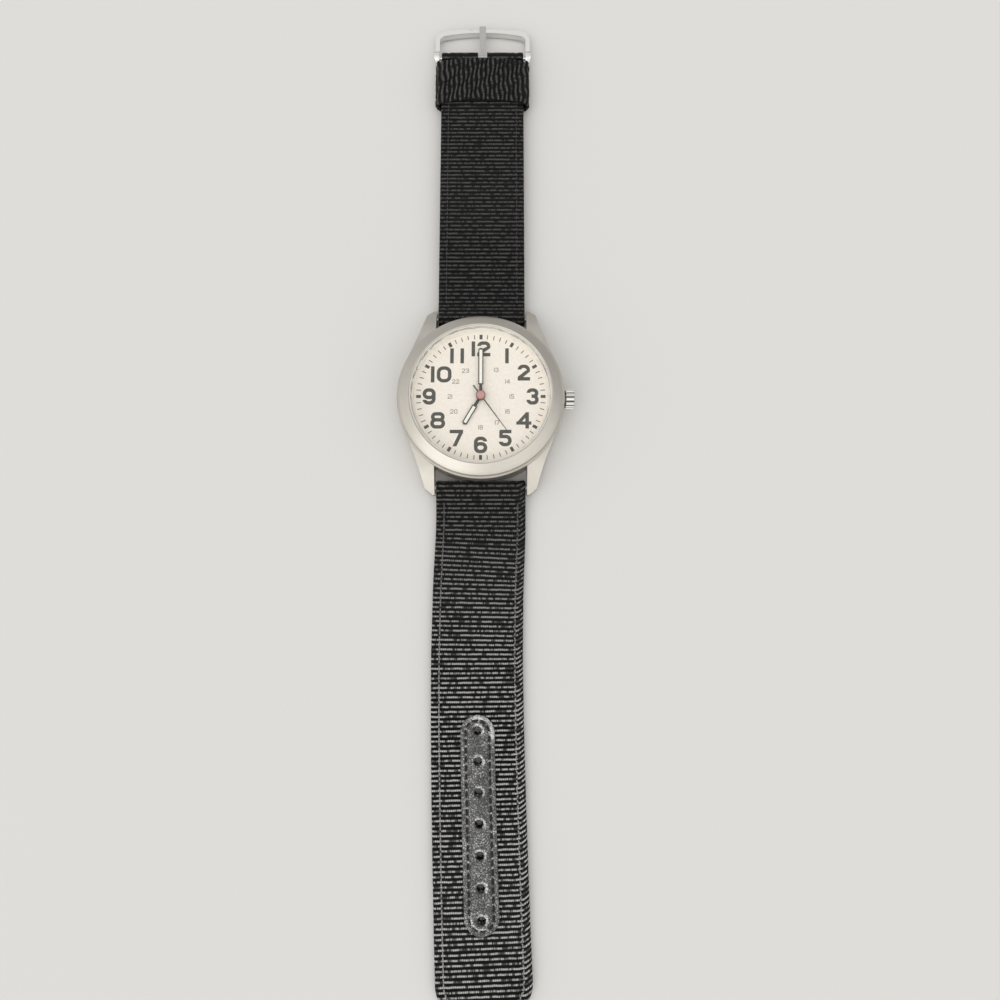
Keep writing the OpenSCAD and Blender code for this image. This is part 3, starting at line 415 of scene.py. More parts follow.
def pebbled_leather(sizes):
    """Pebbled leather, paler where it is rubbed and where a painted highlight lies, as its attribute says."""
    paint = Paint("pebbled leather")
    wear_and_highlight = paint.wire("ShaderNodeAttribute", {"attribute_name": "wear_and_highlight"}, output="Fac")
    pebble = paint.cells(paint.place(), 0.6 * MM).step(0.0, 0.22)
    pore, patchy = paint.grain(0.3 * MM), paint.grain(2.2 * MM)
    speck = pore.step(0.4, 0.62)
    # share: wear and painted highlight, broken by pebbles and specks
    share = wear_and_highlight * (0.75 + 0.9 * patchy.step(0.35, 0.65)) * pebble.over(0.25) * (0.4 + 1.5 * speck)
    base = paint.mix(share, sizes.leather, sizes.scuff)
    return paint.finish(base, 0.34 + 0.25 * pore, pebble + speck, 0.12 * MM, Specular_IOR_Level=0.4)


# Shapes


def smooth(t):
    """0 up to t = 0, 1 from t = 1, and a smooth step in between."""
    t = np.clip(t, 0, 1)
    return t * t * (3 - 2 * t)


def bell(t, peak, spread):
    """A bell curve: 1 where t is peak, and about a third at spread from there."""
    return np.exp(-((t - peak) / spread) ** 2)


def add_mesh(name, points, faces, body, material, maps=None, values=None, sharp=50):
    """Makes a mesh object of points in metres, smooth except at edges sharper than sharp degrees, on a body.
    Faces that enclose a negative volume are turned round, so that they point outwards."""
    faces = [np.asarray(f) for f in faces if len(f)]
    used, index = np.unique(np.concatenate([f.ravel() for f in faces]), return_inverse=True)
    ends = np.cumsum([0] + [f.size for f in faces])
    faces = [index[a:b].reshape(f.shape) for a, b, f in zip(ends[:-1], ends[1:], faces)]
    points = points[used]
    if sum(signed_volume(points, f) for f in faces) < 0:
        faces = [f[:, ::-1] for f in faces]
    mesh = bpy.data.meshes.new(name)
    mesh.from_pydata(points, [], [row for f in faces for row in f.tolist()])
    loops = np.zeros(len(mesh.loops), np.int32)
    mesh.loops.foreach_get("vertex_index", loops)
    for label, pair in (maps or {}).items():
        mesh.uv_layers.new(name=label).data.foreach_set("uv", pair[used][loops].astype(np.float32).ravel())
    for label, number in (values or {}).items():
        data = mesh.attributes.new(label, "FLOAT", "POINT").data
        data.foreach_set("value", number[used].astype(np.float32))
    mesh.shade_smooth()
    mesh.set_sharp_from_angle(angle=np.radians(sharp))
    mesh.materials.append(material)
    piece = bpy.data.objects.new(name, mesh)
    bpy.context.scene.collection.objects.link(piece)
    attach(piece, body)
    return piece


def signed_volume(points, faces):
    """Six times the volume that the faces enclose, as fans of triangles from each face's first corner."""
    corner = points[faces]
    return sum(np.einsum("ij,ij->", corner[:, 0], np.cross(corner[:, k], corner[:, k + 1]))
               for k in range(1, faces.shape[1] - 1))


def thick_sheet(outer, inner, keep):
    """A sheet with an outer and an inner grid of points, rows by columns, and walls round every edge of the
    cells that keep holds. Returns the points and the faces."""
    rows, columns = outer.shape[:2]
    top = np.arange(rows * columns).reshape(rows, columns)
    low = top + rows * columns
    cell = np.nonzero(keep)
    corners = [(0, 0), (0, 1), (1, 1), (1, 0)]
    quads = [np.stack([top[cell[0] + i, cell[1] + j] for i, j in corners], 1),
             np.stack([low[cell[0] + i, cell[1] + j] for i, j in reversed(corners)], 1)]
    padded = np.pad(keep, 1)
    for side, (a, b) in {(0, 1): ((1, 1), (0, 1)), (0, -1): ((0, 0), (1, 0)),
                         (1, 0): ((1, 0), (1, 1)), (-1, 0): ((0, 1), (0, 0))}.items():
        beyond = padded[1 + side[0]:1 + side[0] + keep.shape[0], 1 + side[1]:1 + side[1] + keep.shape[1]]
        i, j = np.nonzero(keep & ~beyond)
        start, end = (i + a[0], j + a[1]), (i + b[0], j + b[1])
        quads.append(np.stack([top[start], top[end], low[end], low[start]], 1))
    return np.concatenate([outer.reshape(-1, 3), inner.reshape(-1, 3)]), [np.concatenate(quads)]


def punch(x, y, keep, centre, radius, inner, reach):
    """Opens a round hole in a grid. The ring of points inner = (rows, columns) steps from the nearest point
    goes to the circle, points up to reach times as far follow it less and less, and the cells inside go."""
    i0 = np.argmin(np.abs(y[:, x.shape[1] // 2] - centre[1]))
    j0 = np.argmin(np.abs(x[i0] - centre[0]))
    i, j = np.meshgrid(np.arange(x.shape[0]) - i0, np.arange(x.shape[1]) - j0, indexing="ij")
    steps = np.maximum(np.abs(i) / inner[0], np.abs(j) / inner[1])
    near = steps < reach
    pull = 1 - smooth((steps[near] - 1) / (reach - 1))
    turn = np.arctan2(i[near] / inner[0] * np.sign(y[-1, 0] - y[0, 0]), j[near] / inner[1])
    round_x = centre[0] + radius * steps[near] * np.cos(turn)
    round_y = centre[1] + radius * steps[near] * np.sin(turn)
    x[near] += pull * (round_x - x[near])
    y[near] += pull * (round_y - y[near])
    keep[i0 - inner[0]:i0 + inner[0], j0 - inner[1]:j0 + inner[1]] = False


class Line:
    """A plane curve by its arc length, with the unit normal on its left."""

    def __init__(self, a, b):
        step = np.hypot(np.diff(a), np.diff(b))
        keep = np.concatenate([[True], step > 1e-9])
        self.a, self.b = a[keep], b[keep]
        self.s = np.concatenate([[0], np.cumsum(step[step > 1e-9])])
        self.length = self.s[-1]
        self.ta, self.tb = np.gradient(self.a, self.s), np.gradient(self.b, self.s)

    def at(self, s):
        """Place and unit normal at arc length s."""
        a, b, ta, tb = (np.interp(s, self.s, v) for v in (self.a, self.b, self.ta, self.tb))
        size = np.hypot(ta, tb)
        return a, b, -tb / size, ta / size


def ends_crowded(low, high, count, edge, steps=5):
    """count even values from low to high, with steps more in the last edge at each end, spaced as the sine of
    an angle that nearly reaches 90 degrees, so that none falls together with the next."""
    turn = np.sin(np.radians(np.linspace(0, 86.4, steps + 1)))[1:] * edge
    inner = np.linspace(low + edge, high - edge, count)
    return np.concatenate([(low + edge - turn)[::-1], inner, high - edge + turn])


def rib_noise(ribs, cells, v, share):
    """A value from 0 to 1 for each rib number v and each share of the width, smooth along the rib."""
    table = np.random.default_rng(SEED).random((ribs + 2, cells + 1))
    row = np.clip(np.floor(v).astype(int), 0, ribs + 1)
    place = np.clip(share, 0, 1) * (cells - 1e-6)
    column = np.floor(place).astype(int)
    part = smooth(place - column)
    return table[row, column] * (1 - part) + table[row, column + 1] * part


def ribbed(s, x, half, edge, sizes):
    """How far the outer and inner face of a ply stand off its middle, and its weave map, at s along it, x
    across it and edge inside its outline. The outer face has a rib every rib_pitch, humps |sin|**0.8 high,
    both faces close in on a round edge, and the sewing pulls in a shallow groove, a bell curve across. The
    inner faces of two plies stay just apart."""
    sewn_depth, sewn_width, lumps, lump_share, inner_share = 0.14 * MM, 0.3 * MM, 18, 0.25, 0.49
    v = s / sizes.rib_pitch
    lump = rib_noise(int(v.max()) + 1, lumps, v, (x / half + 1) / 2)
    crest = np.abs(np.sin(np.pi * v)) ** 0.8 * (1 - lump_share + lump_share * lump)
    bulge = np.sqrt(1 - (1 - np.clip(edge / (sizes.ply / 2), 0.02, 1)) ** 2)
    sewn = bell(edge, sizes.stitch_inset, sewn_width)
    outer = bulge * (sizes.ply / 2 - sizes.rib_depth * (1 - crest)) - sewn_depth * sewn
    inner = -bulge * inner_share * sizes.ply
    return outer, inner, np.stack([x / sizes.yarn_pitch, v], -1)


# How the straps lie: radius of the tip's corners, and the lengths over which a strap sinks to the table, its
# plies close behind the spring bar and open again before the buckle's pin
TIP_CORNER = 7 * MM
SINK_RUN = 7.9 * MM
CLOSE_RUN = 4.5 * MM
OPEN_RUN = 2.2 * MM


def plies(y, bar, gap, sink, half):
    """Height of a strap's middle at y from the case's middle, and how far the middles of its plies stand off
    it. The middle sinks smoothly by sink beyond the spring bar, and the plies close from gap there to half a
    ply."""
    middle_z = bar[1] - sink * smooth((y - bar[0]) / SINK_RUN)
    return middle_z, half + (gap - half) * (1 - smooth((y - bar[0]) / CLOSE_RUN))


def strap_line(bar, gap, sink, far, half, pin_gap=None):
    """Middle of the webbing from the far end under the strap, round the spring bar at bar = (y, z) and back
    over the strap: half circles at the turns, and plies() between them. With pin_gap, the far end turns round
    the buckle pin too."""
    strap_points, turn_points = 1200, 80
    y = np.linspace(bar[0], far, strap_points)
    mid, off = plies(y, bar, gap, sink, half)
    if pin_gap:
        off = off + (pin_gap - half) * smooth((y - far + OPEN_RUN) / OPEN_RUN)
    turn = np.radians(np.linspace(-90, -270, turn_points))
    a = [y[::-1], bar[0] + gap * np.cos(turn), y]
    b = [(mid - off)[::-1], bar[1] + gap * np.sin(turn), mid + off]
    if pin_gap:
        turn = np.radians(np.linspace(90, -90, turn_points))
        a.append(far + pin_gap * np.cos(turn))
        b.append(bar[1] + pin_gap * np.sin(turn))
    return Line(np.concatenate(a), np.concatenate(b))


def lay(line, s, x, offset, side):
    """Points offset from the line's middle: the line runs in side * y and z, and x goes across."""
    y, z, ny, nz = line.at(s)
    return np.stack([x, side * (y + ny * offset), z + nz * offset], -1)


# Sideways drift of the lower strap's middle, in millimetres, at distances from the case's middle
DRIFT_AT = (0, 32, 44, 61, 76, 90, 105, 120, 138)
DRIFT = (0, 0, -0.55, -0.8, -0.62, -0.3, 0.15, 0.65, 1.35)


def drifted(points):
    """Points of the lower strap moved so that its middle drifts sideways as it lies on the table, with the
    ribs kept square to the middle. The drift is averaged over 15 mm, reach steps either way, so that its
    slope has no corners."""
    step, reach = 0.25, 30
    at = np.arange(0, 140 + step, step)
    near = np.hanning(2 * reach + 1)
    drift = np.pad(np.interp(at, DRIFT_AT, DRIFT), reach, "reflect", reflect_type="odd")
    drift = np.convolve(drift, near / near.sum(), "valid")
    x, y, z = np.moveaxis(points, -1, 0)
    shift, slope = (np.interp(-y / MM, at, v) for v in (drift, np.gradient(drift, at)))
    return np.stack([x + shift * MM, y + x * slope, z], -1)


def stitches(paths, width, height, size):
    """Closed little bolsters along paths. Each path is (middles, directions, ups), arrays of points and unit
    vectors; a stitch is size long, a superellipse along its length and an ellipse across."""
    rings, sides = 6, 6
    lat = np.radians(np.linspace(-82, 82, rings))
    turn = np.arange(sides) * 2 * np.pi / sides
    along = size / 2 * np.sin(lat)[:, None] * np.ones(sides)
    wide = width / 2 * (np.cos(lat) ** 0.6)[:, None] * np.cos(turn)
    tall = height / 2 * (np.cos(lat) ** 0.6)[:, None] * np.sin(turn)
    middles, ahead, up = (np.concatenate(p) for p in zip(*paths))
    across = np.cross(ahead, up)
    local = [v.ravel()[None, :, None] for v in (along, wide, tall)]
    points = middles[:, None] + sum(part * way[:, None] for part, way in zip(local, (ahead, across, up)))
    grid = np.arange(rings * sides).reshape(rings, sides)
    after = np.roll(grid, -1, 1)
    quads = np.stack([grid[:-1], after[:-1], after[1:], grid[1:]], -1).reshape(-1, 4)
    caps = np.stack([grid[0][::-1], grid[-1]])
    shift = (np.arange(len(middles)) * rings * sides)[:, None, None]
    return points.reshape(-1, 3), [(quads + shift).reshape(-1, 4), (caps + shift).reshape(-1, sides)]


def rounded_end(inset, half, start, tip):
    """Plan of a sewing line up one side, round the strap's tip and down the other, inset from an outline of
    half width half: straight sides and two quarter circles."""
    turn = np.radians(np.linspace(0, 90, 40))
    x = np.concatenate([[half - inset], half - TIP_CORNER + (TIP_CORNER - inset) * np.cos(turn)])
    y = np.concatenate([[start], tip - TIP_CORNER + (TIP_CORNER - inset) * np.sin(turn)])
    return np.concatenate([x, -x[::-1]]), np.concatenate([y, y[::-1]])


def evenly(x, y, pitch):
    """Middles and unit directions every pitch along a plan line."""
    line = Line(x, y)
    s = np.arange(pitch / 2, line.length, pitch)
    a, b, na, nb = line.at(s)
    return a, b, nb, -na


# Pieces


class DressOperator(Operator):
    """A step of the dressing."""
    bl_options = {"REGISTER", "UNDO"}


def strap_facts(bar_node):
    """(y, z) of a spring bar and the gap from its middle to the middle of the ply round it."""
    air = 0.03 * MM
    low, high = box(bar_node)
    centre = (low + high) / 2
    return (abs(centre[1]), centre[2]), (high[2] - low[2]) / 2 + air + bpy.context.scene.watch_webbing.ply / 2


def add_webbing(name, node, outer, inner, weave, keep):
    """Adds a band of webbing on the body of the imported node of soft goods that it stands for."""
    points, faces = thick_sheet(outer, inner, keep)
    maps = {"weave": np.tile(weave.reshape(-1, 2), (2, 1))}
    piece = add_mesh(name, points, faces, node, webbing(bpy.context.scene.watch_webbing), maps)
    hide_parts(node)


def tip_distance(x, y, half, tip):
    """Distance inside the outline of the strap's round-cornered tip."""
    over_x = np.abs(x) - (half - TIP_CORNER)
    over_y = y - (tip - TIP_CORNER)
    outside = np.hypot(np.maximum(over_x, 0), np.maximum(over_y, 0))
    return TIP_CORNER - outside - np.minimum(np.maximum(over_x, over_y), 0)


class WATCH_OT_lower_webbing(DressOperator):
    """The lower strap: a band of ribbed webbing from its tip round the spring bar and back, with holes."""
    bl_idname = "watch.lower_webbing"
    bl_label = "Lower strap"
    # Rows of points for each rib, columns across, and the webbing's hole as a share of the leather's
    ROWS, COLUMNS, HOLE_SHARE = 5, 27, 0.8
    # Right of the sewing, the width in millimetres over which the ribs bend along the strap, and how fast
    BENT, BEND = 2.1, 0.27

    def execute(self, context):
        sizes, patch = context.scene.watch_webbing, context.scene.watch_patch
        low, high = box("strap_lower")
        half, tip = high[0], -low[1]
        bar, gap = strap_facts("spring_bar_6")
        line = strap_line(bar, gap, bar[1] - sizes.ply, tip, sizes.ply / 2)
        s = ends_crowded(0, line.length, int(line.length / sizes.rib_pitch * self.ROWS), sizes.ply / 2, 3)
        share = ends_crowded(-half, half, self.COLUMNS, sizes.ply / 2) / half
        s, share = np.meshgrid(s, share, indexing="ij")
        bent = np.clip(line.at(s)[0] - (tip - TIP_CORNER), 0, TIP_CORNER)
        x = share * (half - TIP_CORNER + np.sqrt(TIP_CORNER ** 2 - bent ** 2))
        keep = np.ones((s.shape[0] - 1, s.shape[1] - 1), bool)
        first, pitch = hole_row()
        for k in range(patch.holes):
            for place in (tip - first - k * pitch, line.length - tip + first + k * pitch):
                punch(x, s, keep, (0, place), self.HOLE_SHARE * patch.hole, (4, 2), 2.4)
        edge = tip_distance(x, line.at(s)[0], half, tip)
        shift = self.BEND * np.clip((x - half) / MM + self.BENT, 0, None) ** 2 * MM
        outer, inner, weave = ribbed(s + shift, x, half, edge, sizes)
        outer, inner = (drifted(lay(line, s, x, face, -1)) for face in (outer, inner))
        add_webbing("lower_webbing", "strap_lower", outer, inner, weave, keep)
        return {"FINISHED"}


class WATCH_OT_upper_webbing(DressOperator):
    """The upper strap: a band of ribbed webbing round the spring bar and the buckle pin, with a slot."""
    bl_idname = "watch.upper_webbing"
    bl_label = "Upper strap"
    # Rows of points for each rib, and columns across
    ROWS, COLUMNS = 6, 31
    # The tang's slot, and the gap from the buckle pin's middle to the middle of the ply round it
    SLOT_HALF, SLOT_FROM, PIN_GAP = 1.2 * MM, 91.3 * MM, 1.12 * MM

    def execute(self, context):
        sizes = context.scene.watch_webbing
        half, slot_half = box("strap_upper")[1][0], self.SLOT_HALF
        bar, gap = strap_facts("spring_bar_12")
        line = strap_line(bar, gap, 0, middle("buckle_pin")[1], sizes.ply / 2, self.PIN_GAP)
        s = ends_crowded(0, line.length, int(line.length / sizes.rib_pitch * self.ROWS), sizes.ply / 2, 3)
        across = ends_crowded(-half, half, self.COLUMNS, sizes.ply / 2)
        for side in (-1, 1):
            across[np.argmin(np.abs(across - side * slot_half))] = side * slot_half
        s, x = np.meshgrid(s, across, indexing="ij")
        middle_y = line.at((s[1:, 1:] + s[:-1, :-1]) / 2)[0]
        keep = ~((middle_y > self.SLOT_FROM) & (np.abs(x[1:, 1:] + x[:-1, :-1]) / 2 < slot_half))
        outer, inner, weave = ribbed(s, x, half, half - np.abs(x), sizes)
        outer, inner = (lay(line, s, x, face, 1) for face in (outer, inner))
        add_webbing("upper_webbing", "strap_upper", outer, inner, weave, keep)
        return {"FINISHED"}


class WATCH_OT_keeper_band(DressOperator):
    """The keeper: a slack band of webbing round the upper strap, with its ribs along the strap. Its line is a
    long circle, its ribs wander by two sine waves, and the middle of its top hangs over to the buckle."""
    bl_idname = "watch.keeper_band"
    bl_label = "Keeper"
    # Ribs of the strap for each rib of the keeper, distance and number of its rows and columns of points, and
    # how far its top hangs over
    STRETCH, ROW, COLUMNS, HANG = 1.1, 1.15 * MM / 8, 24, 1.15 * MM
    # Points of the line for each turn and each half of a flat side
    LINE_POINTS = 60

    def execute(self, context):
        sizes = context.scene.watch_webbing
        low, high = box("keeper")
        centre, half = (low + high) / 2, (high[1] - low[1]) / 2
        tall = (high[2] - low[2]) / 2 - sizes.ply / 2
        flat = high[0] - (high[2] - low[2]) / 2
        n = self.LINE_POINTS
        turn = np.radians(np.linspace(-90, 90, n))
        end_x, end_z = flat + tall * np.cos(turn), tall * np.sin(turn)
        x = np.concatenate([np.linspace(0, flat, n), end_x, np.linspace(flat, -flat, 2 * n), -end_x,
                            np.linspace(-flat, 0, n)])
        z = np.concatenate([np.full(n, -tall), end_z, np.full(2 * n, tall), -end_z, np.full(n, -tall)])
        line = Line(-x, z)
        s = ends_crowded(0, line.length, int(line.length / self.ROW), sizes.ply / 2, 2)
        width = ends_crowded(low[1], high[1], self.COLUMNS, sizes.ply / 2)
        s, y = np.meshgrid(s, width, indexing="ij")
        y_mm, s_mm = y / MM, s / MM
        wander = (0.15 * np.sin(y_mm / 0.8 + 1.3 * s_mm) + 0.2 * np.sin(y_mm / 2.3 + s_mm / 4)) * MM
        across = y - centre[1]
        outer, inner, weave = ribbed((s + wander) / self.STRETCH, across, half, half - np.abs(across), sizes)
        a, b, na, nb = line.at(s)
        over = smooth(b / tall * 0.5 + 0.5) * np.clip(1 - (a / (0.88 * high[0])) ** 2, 0, 1)
        y = y + self.HANG * over
        outer, inner = (np.stack([-(a + na * d), y, centre[2] + b + nb * d], -1) for d in (outer, inner))
        keep = np.ones((s.shape[0] - 1, s.shape[1] - 1), bool)
        add_webbing("keeper_band", "keeper", outer, inner, weave, keep)
        return {"FINISHED"}


class WATCH_OT_strap_stitching(DressOperator):
    """The sewing along the edges of both straps, above and below."""
    bl_idname = "watch.strap_stitching"
    bl_label = "Strap stitching"
    # Where the sewing starts and the upper strap's ends, from the case's middle
    START, END = 25 * MM, 90.6 * MM
    # Height of a stitch, how deep it sits, its length as a share of the pitch, and its slant on the right
    HIGH, SUNK, SHARE, SLANT = 0.34 * MM, 0.16 * MM, 0.72, 24

    def execute(self, context):
        sizes = context.scene.watch_webbing
        low, high = box("strap_lower")
        thread = sewing_thread(sizes)
        x, y = rounded_end(sizes.stitch_inset, high[0], self.START, -low[1])
        self.sew("lower_stitching", self.rows(sizes, x, y, "spring_bar_6", -1), "strap_lower", sizes, thread)
        rows = []
        for side in (-1, 1):
            x = np.full(2, side * (high[0] - sizes.stitch_inset))
            rows += self.rows(sizes, x, np.array([self.START, self.END]), "spring_bar_12", 1)
        self.sew("upper_stitching", rows, "strap_upper", sizes, thread)
        return {"FINISHED"}

    def rows(self, sizes, x, y, bar_node, side):
        """A sewing line on the top face of a strap and one on its underside. side is the strap's way in y."""
        bar, gap = strap_facts(bar_node)
        sink = bar[1] - sizes.ply if side < 0 else 0
        x, y, dx, dy = evenly(x, y, sizes.stitch_pitch)
        mid, off = plies(y, bar, gap, sink, sizes.ply / 2)
        slant = np.where(x > 0, np.radians(self.SLANT) * (-1.0) ** np.arange(len(x)), 0)
        dx, dy = dx * np.cos(slant) - dy * np.sin(slant), dx * np.sin(slant) + dy * np.cos(slant)
        ahead = np.stack([dx, side * dy, np.zeros(len(x))], -1)
        found = []
        for face in (1, -1):
            z = mid + face * (off + sizes.ply / 2 - self.SUNK)
            up = np.tile([0.0, 0.0, face], (len(x), 1))
            points = np.stack([x, side * y, z], -1)
            found.append((points if side > 0 else drifted(points), ahead, up))
        return found

    def sew(self, name, rows, body, sizes, thread):
        points, faces = stitches(rows, sizes.thread, self.HIGH, sizes.stitch_pitch * self.SHARE)
        add_mesh(name, points, faces, body, thread)


def hole_row():
    """Distance of the first buckle hole from the case's middle, and the distance between holes."""
    patch = bpy.context.scene.watch_patch
    low, high = box("hole_patch")
    first, last = -high[1] + patch.hole_end, -low[1] - patch.hole_end
    return first, (last - first) / (patch.holes - 1)


class WATCH_OT_leather_patch(DressOperator):
    """The leather patch: a long-round plate with a rolled border, a sewn groove, a padded panel and punched
    holes. Its height is a chain of smooth steps over the distance from the outline."""
    bl_idname = "watch.leather_patch"
    bl_label = "Leather patch"
    # Distance from the outline and height over the strap, in millimetres
    PROFILE = ((0, 0.1), (0.12, 0.38), (0.5, 0.64), (0.8, 0.58),
               (1.2, 0.2), (1.6, 0.6), (2.2, 0.76), (4, 0.88))
    # Rows of points on each round end and between them, and columns
    END_ROWS, ROWS, COLUMNS = 34, 200, 61
    # How deep the patch is sunk in the webbing
    SUNK = 0.12 * MM
    # From one stitch to the next, a stitch's size, and the height of its middle over the strap
    PITCH, LONG, WIDE, TALL, LIES = 1.9 * MM, 1.45 * MM, 0.3 * MM, 0.24 * MM, 0.36 * MM

    def execute(self, context):
        patch = context.scene.watch_patch
        low, high = box("hole_patch")
        radius, straight = high[0], (high[1] - low[1]) / 2 - high[0]
        centre_y = (low[1] + high[1]) / 2
        cap = straight + radius * np.cos(np.radians(np.linspace(2, 88, self.END_ROWS)))
        y = np.concatenate([cap, np.linspace(straight, -straight, self.ROWS), -cap[::-1]])
        across = np.sin(np.radians(np.linspace(-88, 88, self.COLUMNS)))
        y, across = np.meshgrid(y, across, indexing="ij")
        over = np.clip(np.abs(y) - straight, 0, radius)
        x = across * np.sqrt(radius ** 2 - over ** 2)
        keep = np.ones((y.shape[0] - 1, y.shape[1] - 1), bool)
        first, pitch = hole_row()
        centres = -first - pitch * np.arange(patch.holes) - centre_y
        for centre in centres:
            punch(x, y, keep, (0, centre), patch.hole, (4, 4), 2.5)
        distance = radius - np.hypot(x, np.clip(np.abs(y) - straight, 0, None))
        hole_gap = np.min([np.hypot(x, y - c) for c in centres], axis=0) - patch.hole
        # A raised lip round each hole, which falls away at the edge
        lip = 0.15 * bell(hole_gap, 0.5 * MM, 0.26 * MM) - 0.24 * (1 - smooth(hole_gap / (0.42 * MM)))
        heights = self.height(distance) + lip * MM, np.full(x.shape, -self.SUNK)
        thread = self.thread_plan(radius - patch.groove, straight)
        rubbed = self.rubbed(x, y, straight, distance, centres, hole_gap, patch.groove)
        rubbed = rubbed + self.rubbed_seam(x, y, straight, distance, thread)
        top, under = (drifted(np.stack([x, y + centre_y, low[2] + z], -1)) for z in heights)
        points, faces = thick_sheet(top, under, keep)
        material, values = pebbled_leather(patch), {"wear_and_highlight": np.tile(rubbed.ravel(), 2)}
        piece = add_mesh("leather_patch", points, faces, "strap_lower", material,
                         values=values, sharp=60)
        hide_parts("hole_patch")
        self.sew(thread, centre_y, low[2])
        return {"FINISHED"}

    def height(self, distance):
        """Height over the strap, by smooth steps through PROFILE."""
        at, tall = np.array(self.PROFILE).T * MM
        step = np.clip(np.searchsorted(at, distance, side="right") - 1, 0, len(at) - 2)
        part = smooth((distance - at[step]) / (at[step + 1] - at[step]))
        return tall[step] + part * (tall[step + 1] - tall[step])

    def rubbed(self, x, y, straight, distance, centres, hole_gap, groove):
        """How far the leather is rubbed, and where it carries a painted highlight, by smooth steps and bells
        over the distance inside the outline and the gap to the nearest hole: real wear on the border and the
        panel, a painted highlight on the upper right side of each hole and of the patch's upper end, as if
        lit from the lower left, and not at all in the sewn groove."""
        nearest = centres[np.argmin([np.abs(y - c) for c in centres], axis=0)]
        # painted highlight on the upper right lip of each hole
        hole_highlight = smooth((x + y - nearest) / (1.6 * MM) + 0.3) * bell(hole_gap, 0.3 * MM, 0.26 * MM)
        # painted highlight on the border at the patch's upper right end
        upper = smooth((x + y - straight - 1 * MM) / (2.5 * MM))
        border = smooth(distance / (0.15 * MM)) * (1 - smooth((distance - 0.8 * MM) / (0.3 * MM)))
        panel = smooth((distance - 1.6 * MM) / (0.3 * MM))
        worn = (0.16 + 1.4 * upper) * border + 1.8 * hole_highlight + 0.08 + 0.09 * panel
        worn = 0.05 + 0.95 * worn * smooth(hole_gap / (0.06 * MM))
        return worn * (1 - bell(distance, groove, 0.3 * MM))

    def rubbed_seam(self, x, y, straight, distance, thread):
        """How pale the leather is in the groove: paler between two stitches, and a painted highlight along
        the padded panel's edge at the lower end, as if lit from the lower left."""
        line = Line(*thread)
        ends = line.at(np.arange(0, line.length, self.PITCH))[:2]
        end_gap = np.min([np.hypot(x - a, y - b) for a, b in zip(*ends)], axis=0)
        # painted highlight along the panel's edge at the lower end
        lower = smooth((-x - y - straight - 0.6 * MM) / (2 * MM)) * bell(distance, 1.5 * MM, 0.28 * MM)
        return 0.9 * bell(end_gap, 0, 0.27 * MM) + 1.6 * lower

    def thread_plan(self, r, straight):
        """A long circle of radius r about the patch's middle, from its upper right and anticlockwise."""
        turn = np.radians(np.linspace(0, 180, 60))
        x = np.concatenate([r * np.cos(turn), -r * np.cos(turn), [r]])
        y = np.concatenate([straight + r * np.sin(turn), -straight - r * np.sin(turn), [straight]])
        return x, y

    def sew(self, thread, centre_y, base):
        """The thread in the groove, all the way round."""
        x, y, dx, dy = evenly(*thread, self.PITCH)
        flat = np.zeros(len(x))
        middles = drifted(np.stack([x, y + centre_y, flat + base + self.LIES], -1))
        row = middles, np.stack([dx, dy, flat], -1), np.tile([0.0, 0.0, 1.0], (len(x), 1))
        points, faces = stitches([row], self.WIDE, self.TALL, self.LONG)
        material = moulded("dark thread", (0.01, 0.01, 0.01), 0.6)
        add_mesh("patch_stitching", points, faces, "strap_lower", material)


# Printed dial


def box_distance(x, y, cx, cy, half_w, half_h, corner=0.0):
    """Distance outside a rectangle with rounded corners, negative inside it."""
    qx = np.abs(x - cx) - half_w + corner
    qy = np.abs(y - cy) - half_h + corner
    return np.hypot(np.maximum(qx, 0), np.maximum(qy, 0)) + np.minimum(np.maximum(qx, qy), 0) - corner


def bar_distance(x, y, start, end, half_t):
    """Distance outside a slanting bar from start to end."""
    start, end = np.array(start), np.array(end)
    size = np.hypot(*(end - start))
    ux, uy = (end - start) / size
    along = (x - start[0]) * ux + (y - start[1]) * uy - size / 2
    across = (y - start[1]) * ux - (x - start[0]) * uy
    return box_distance(along, across, 0, 0, size / 2, half_t)


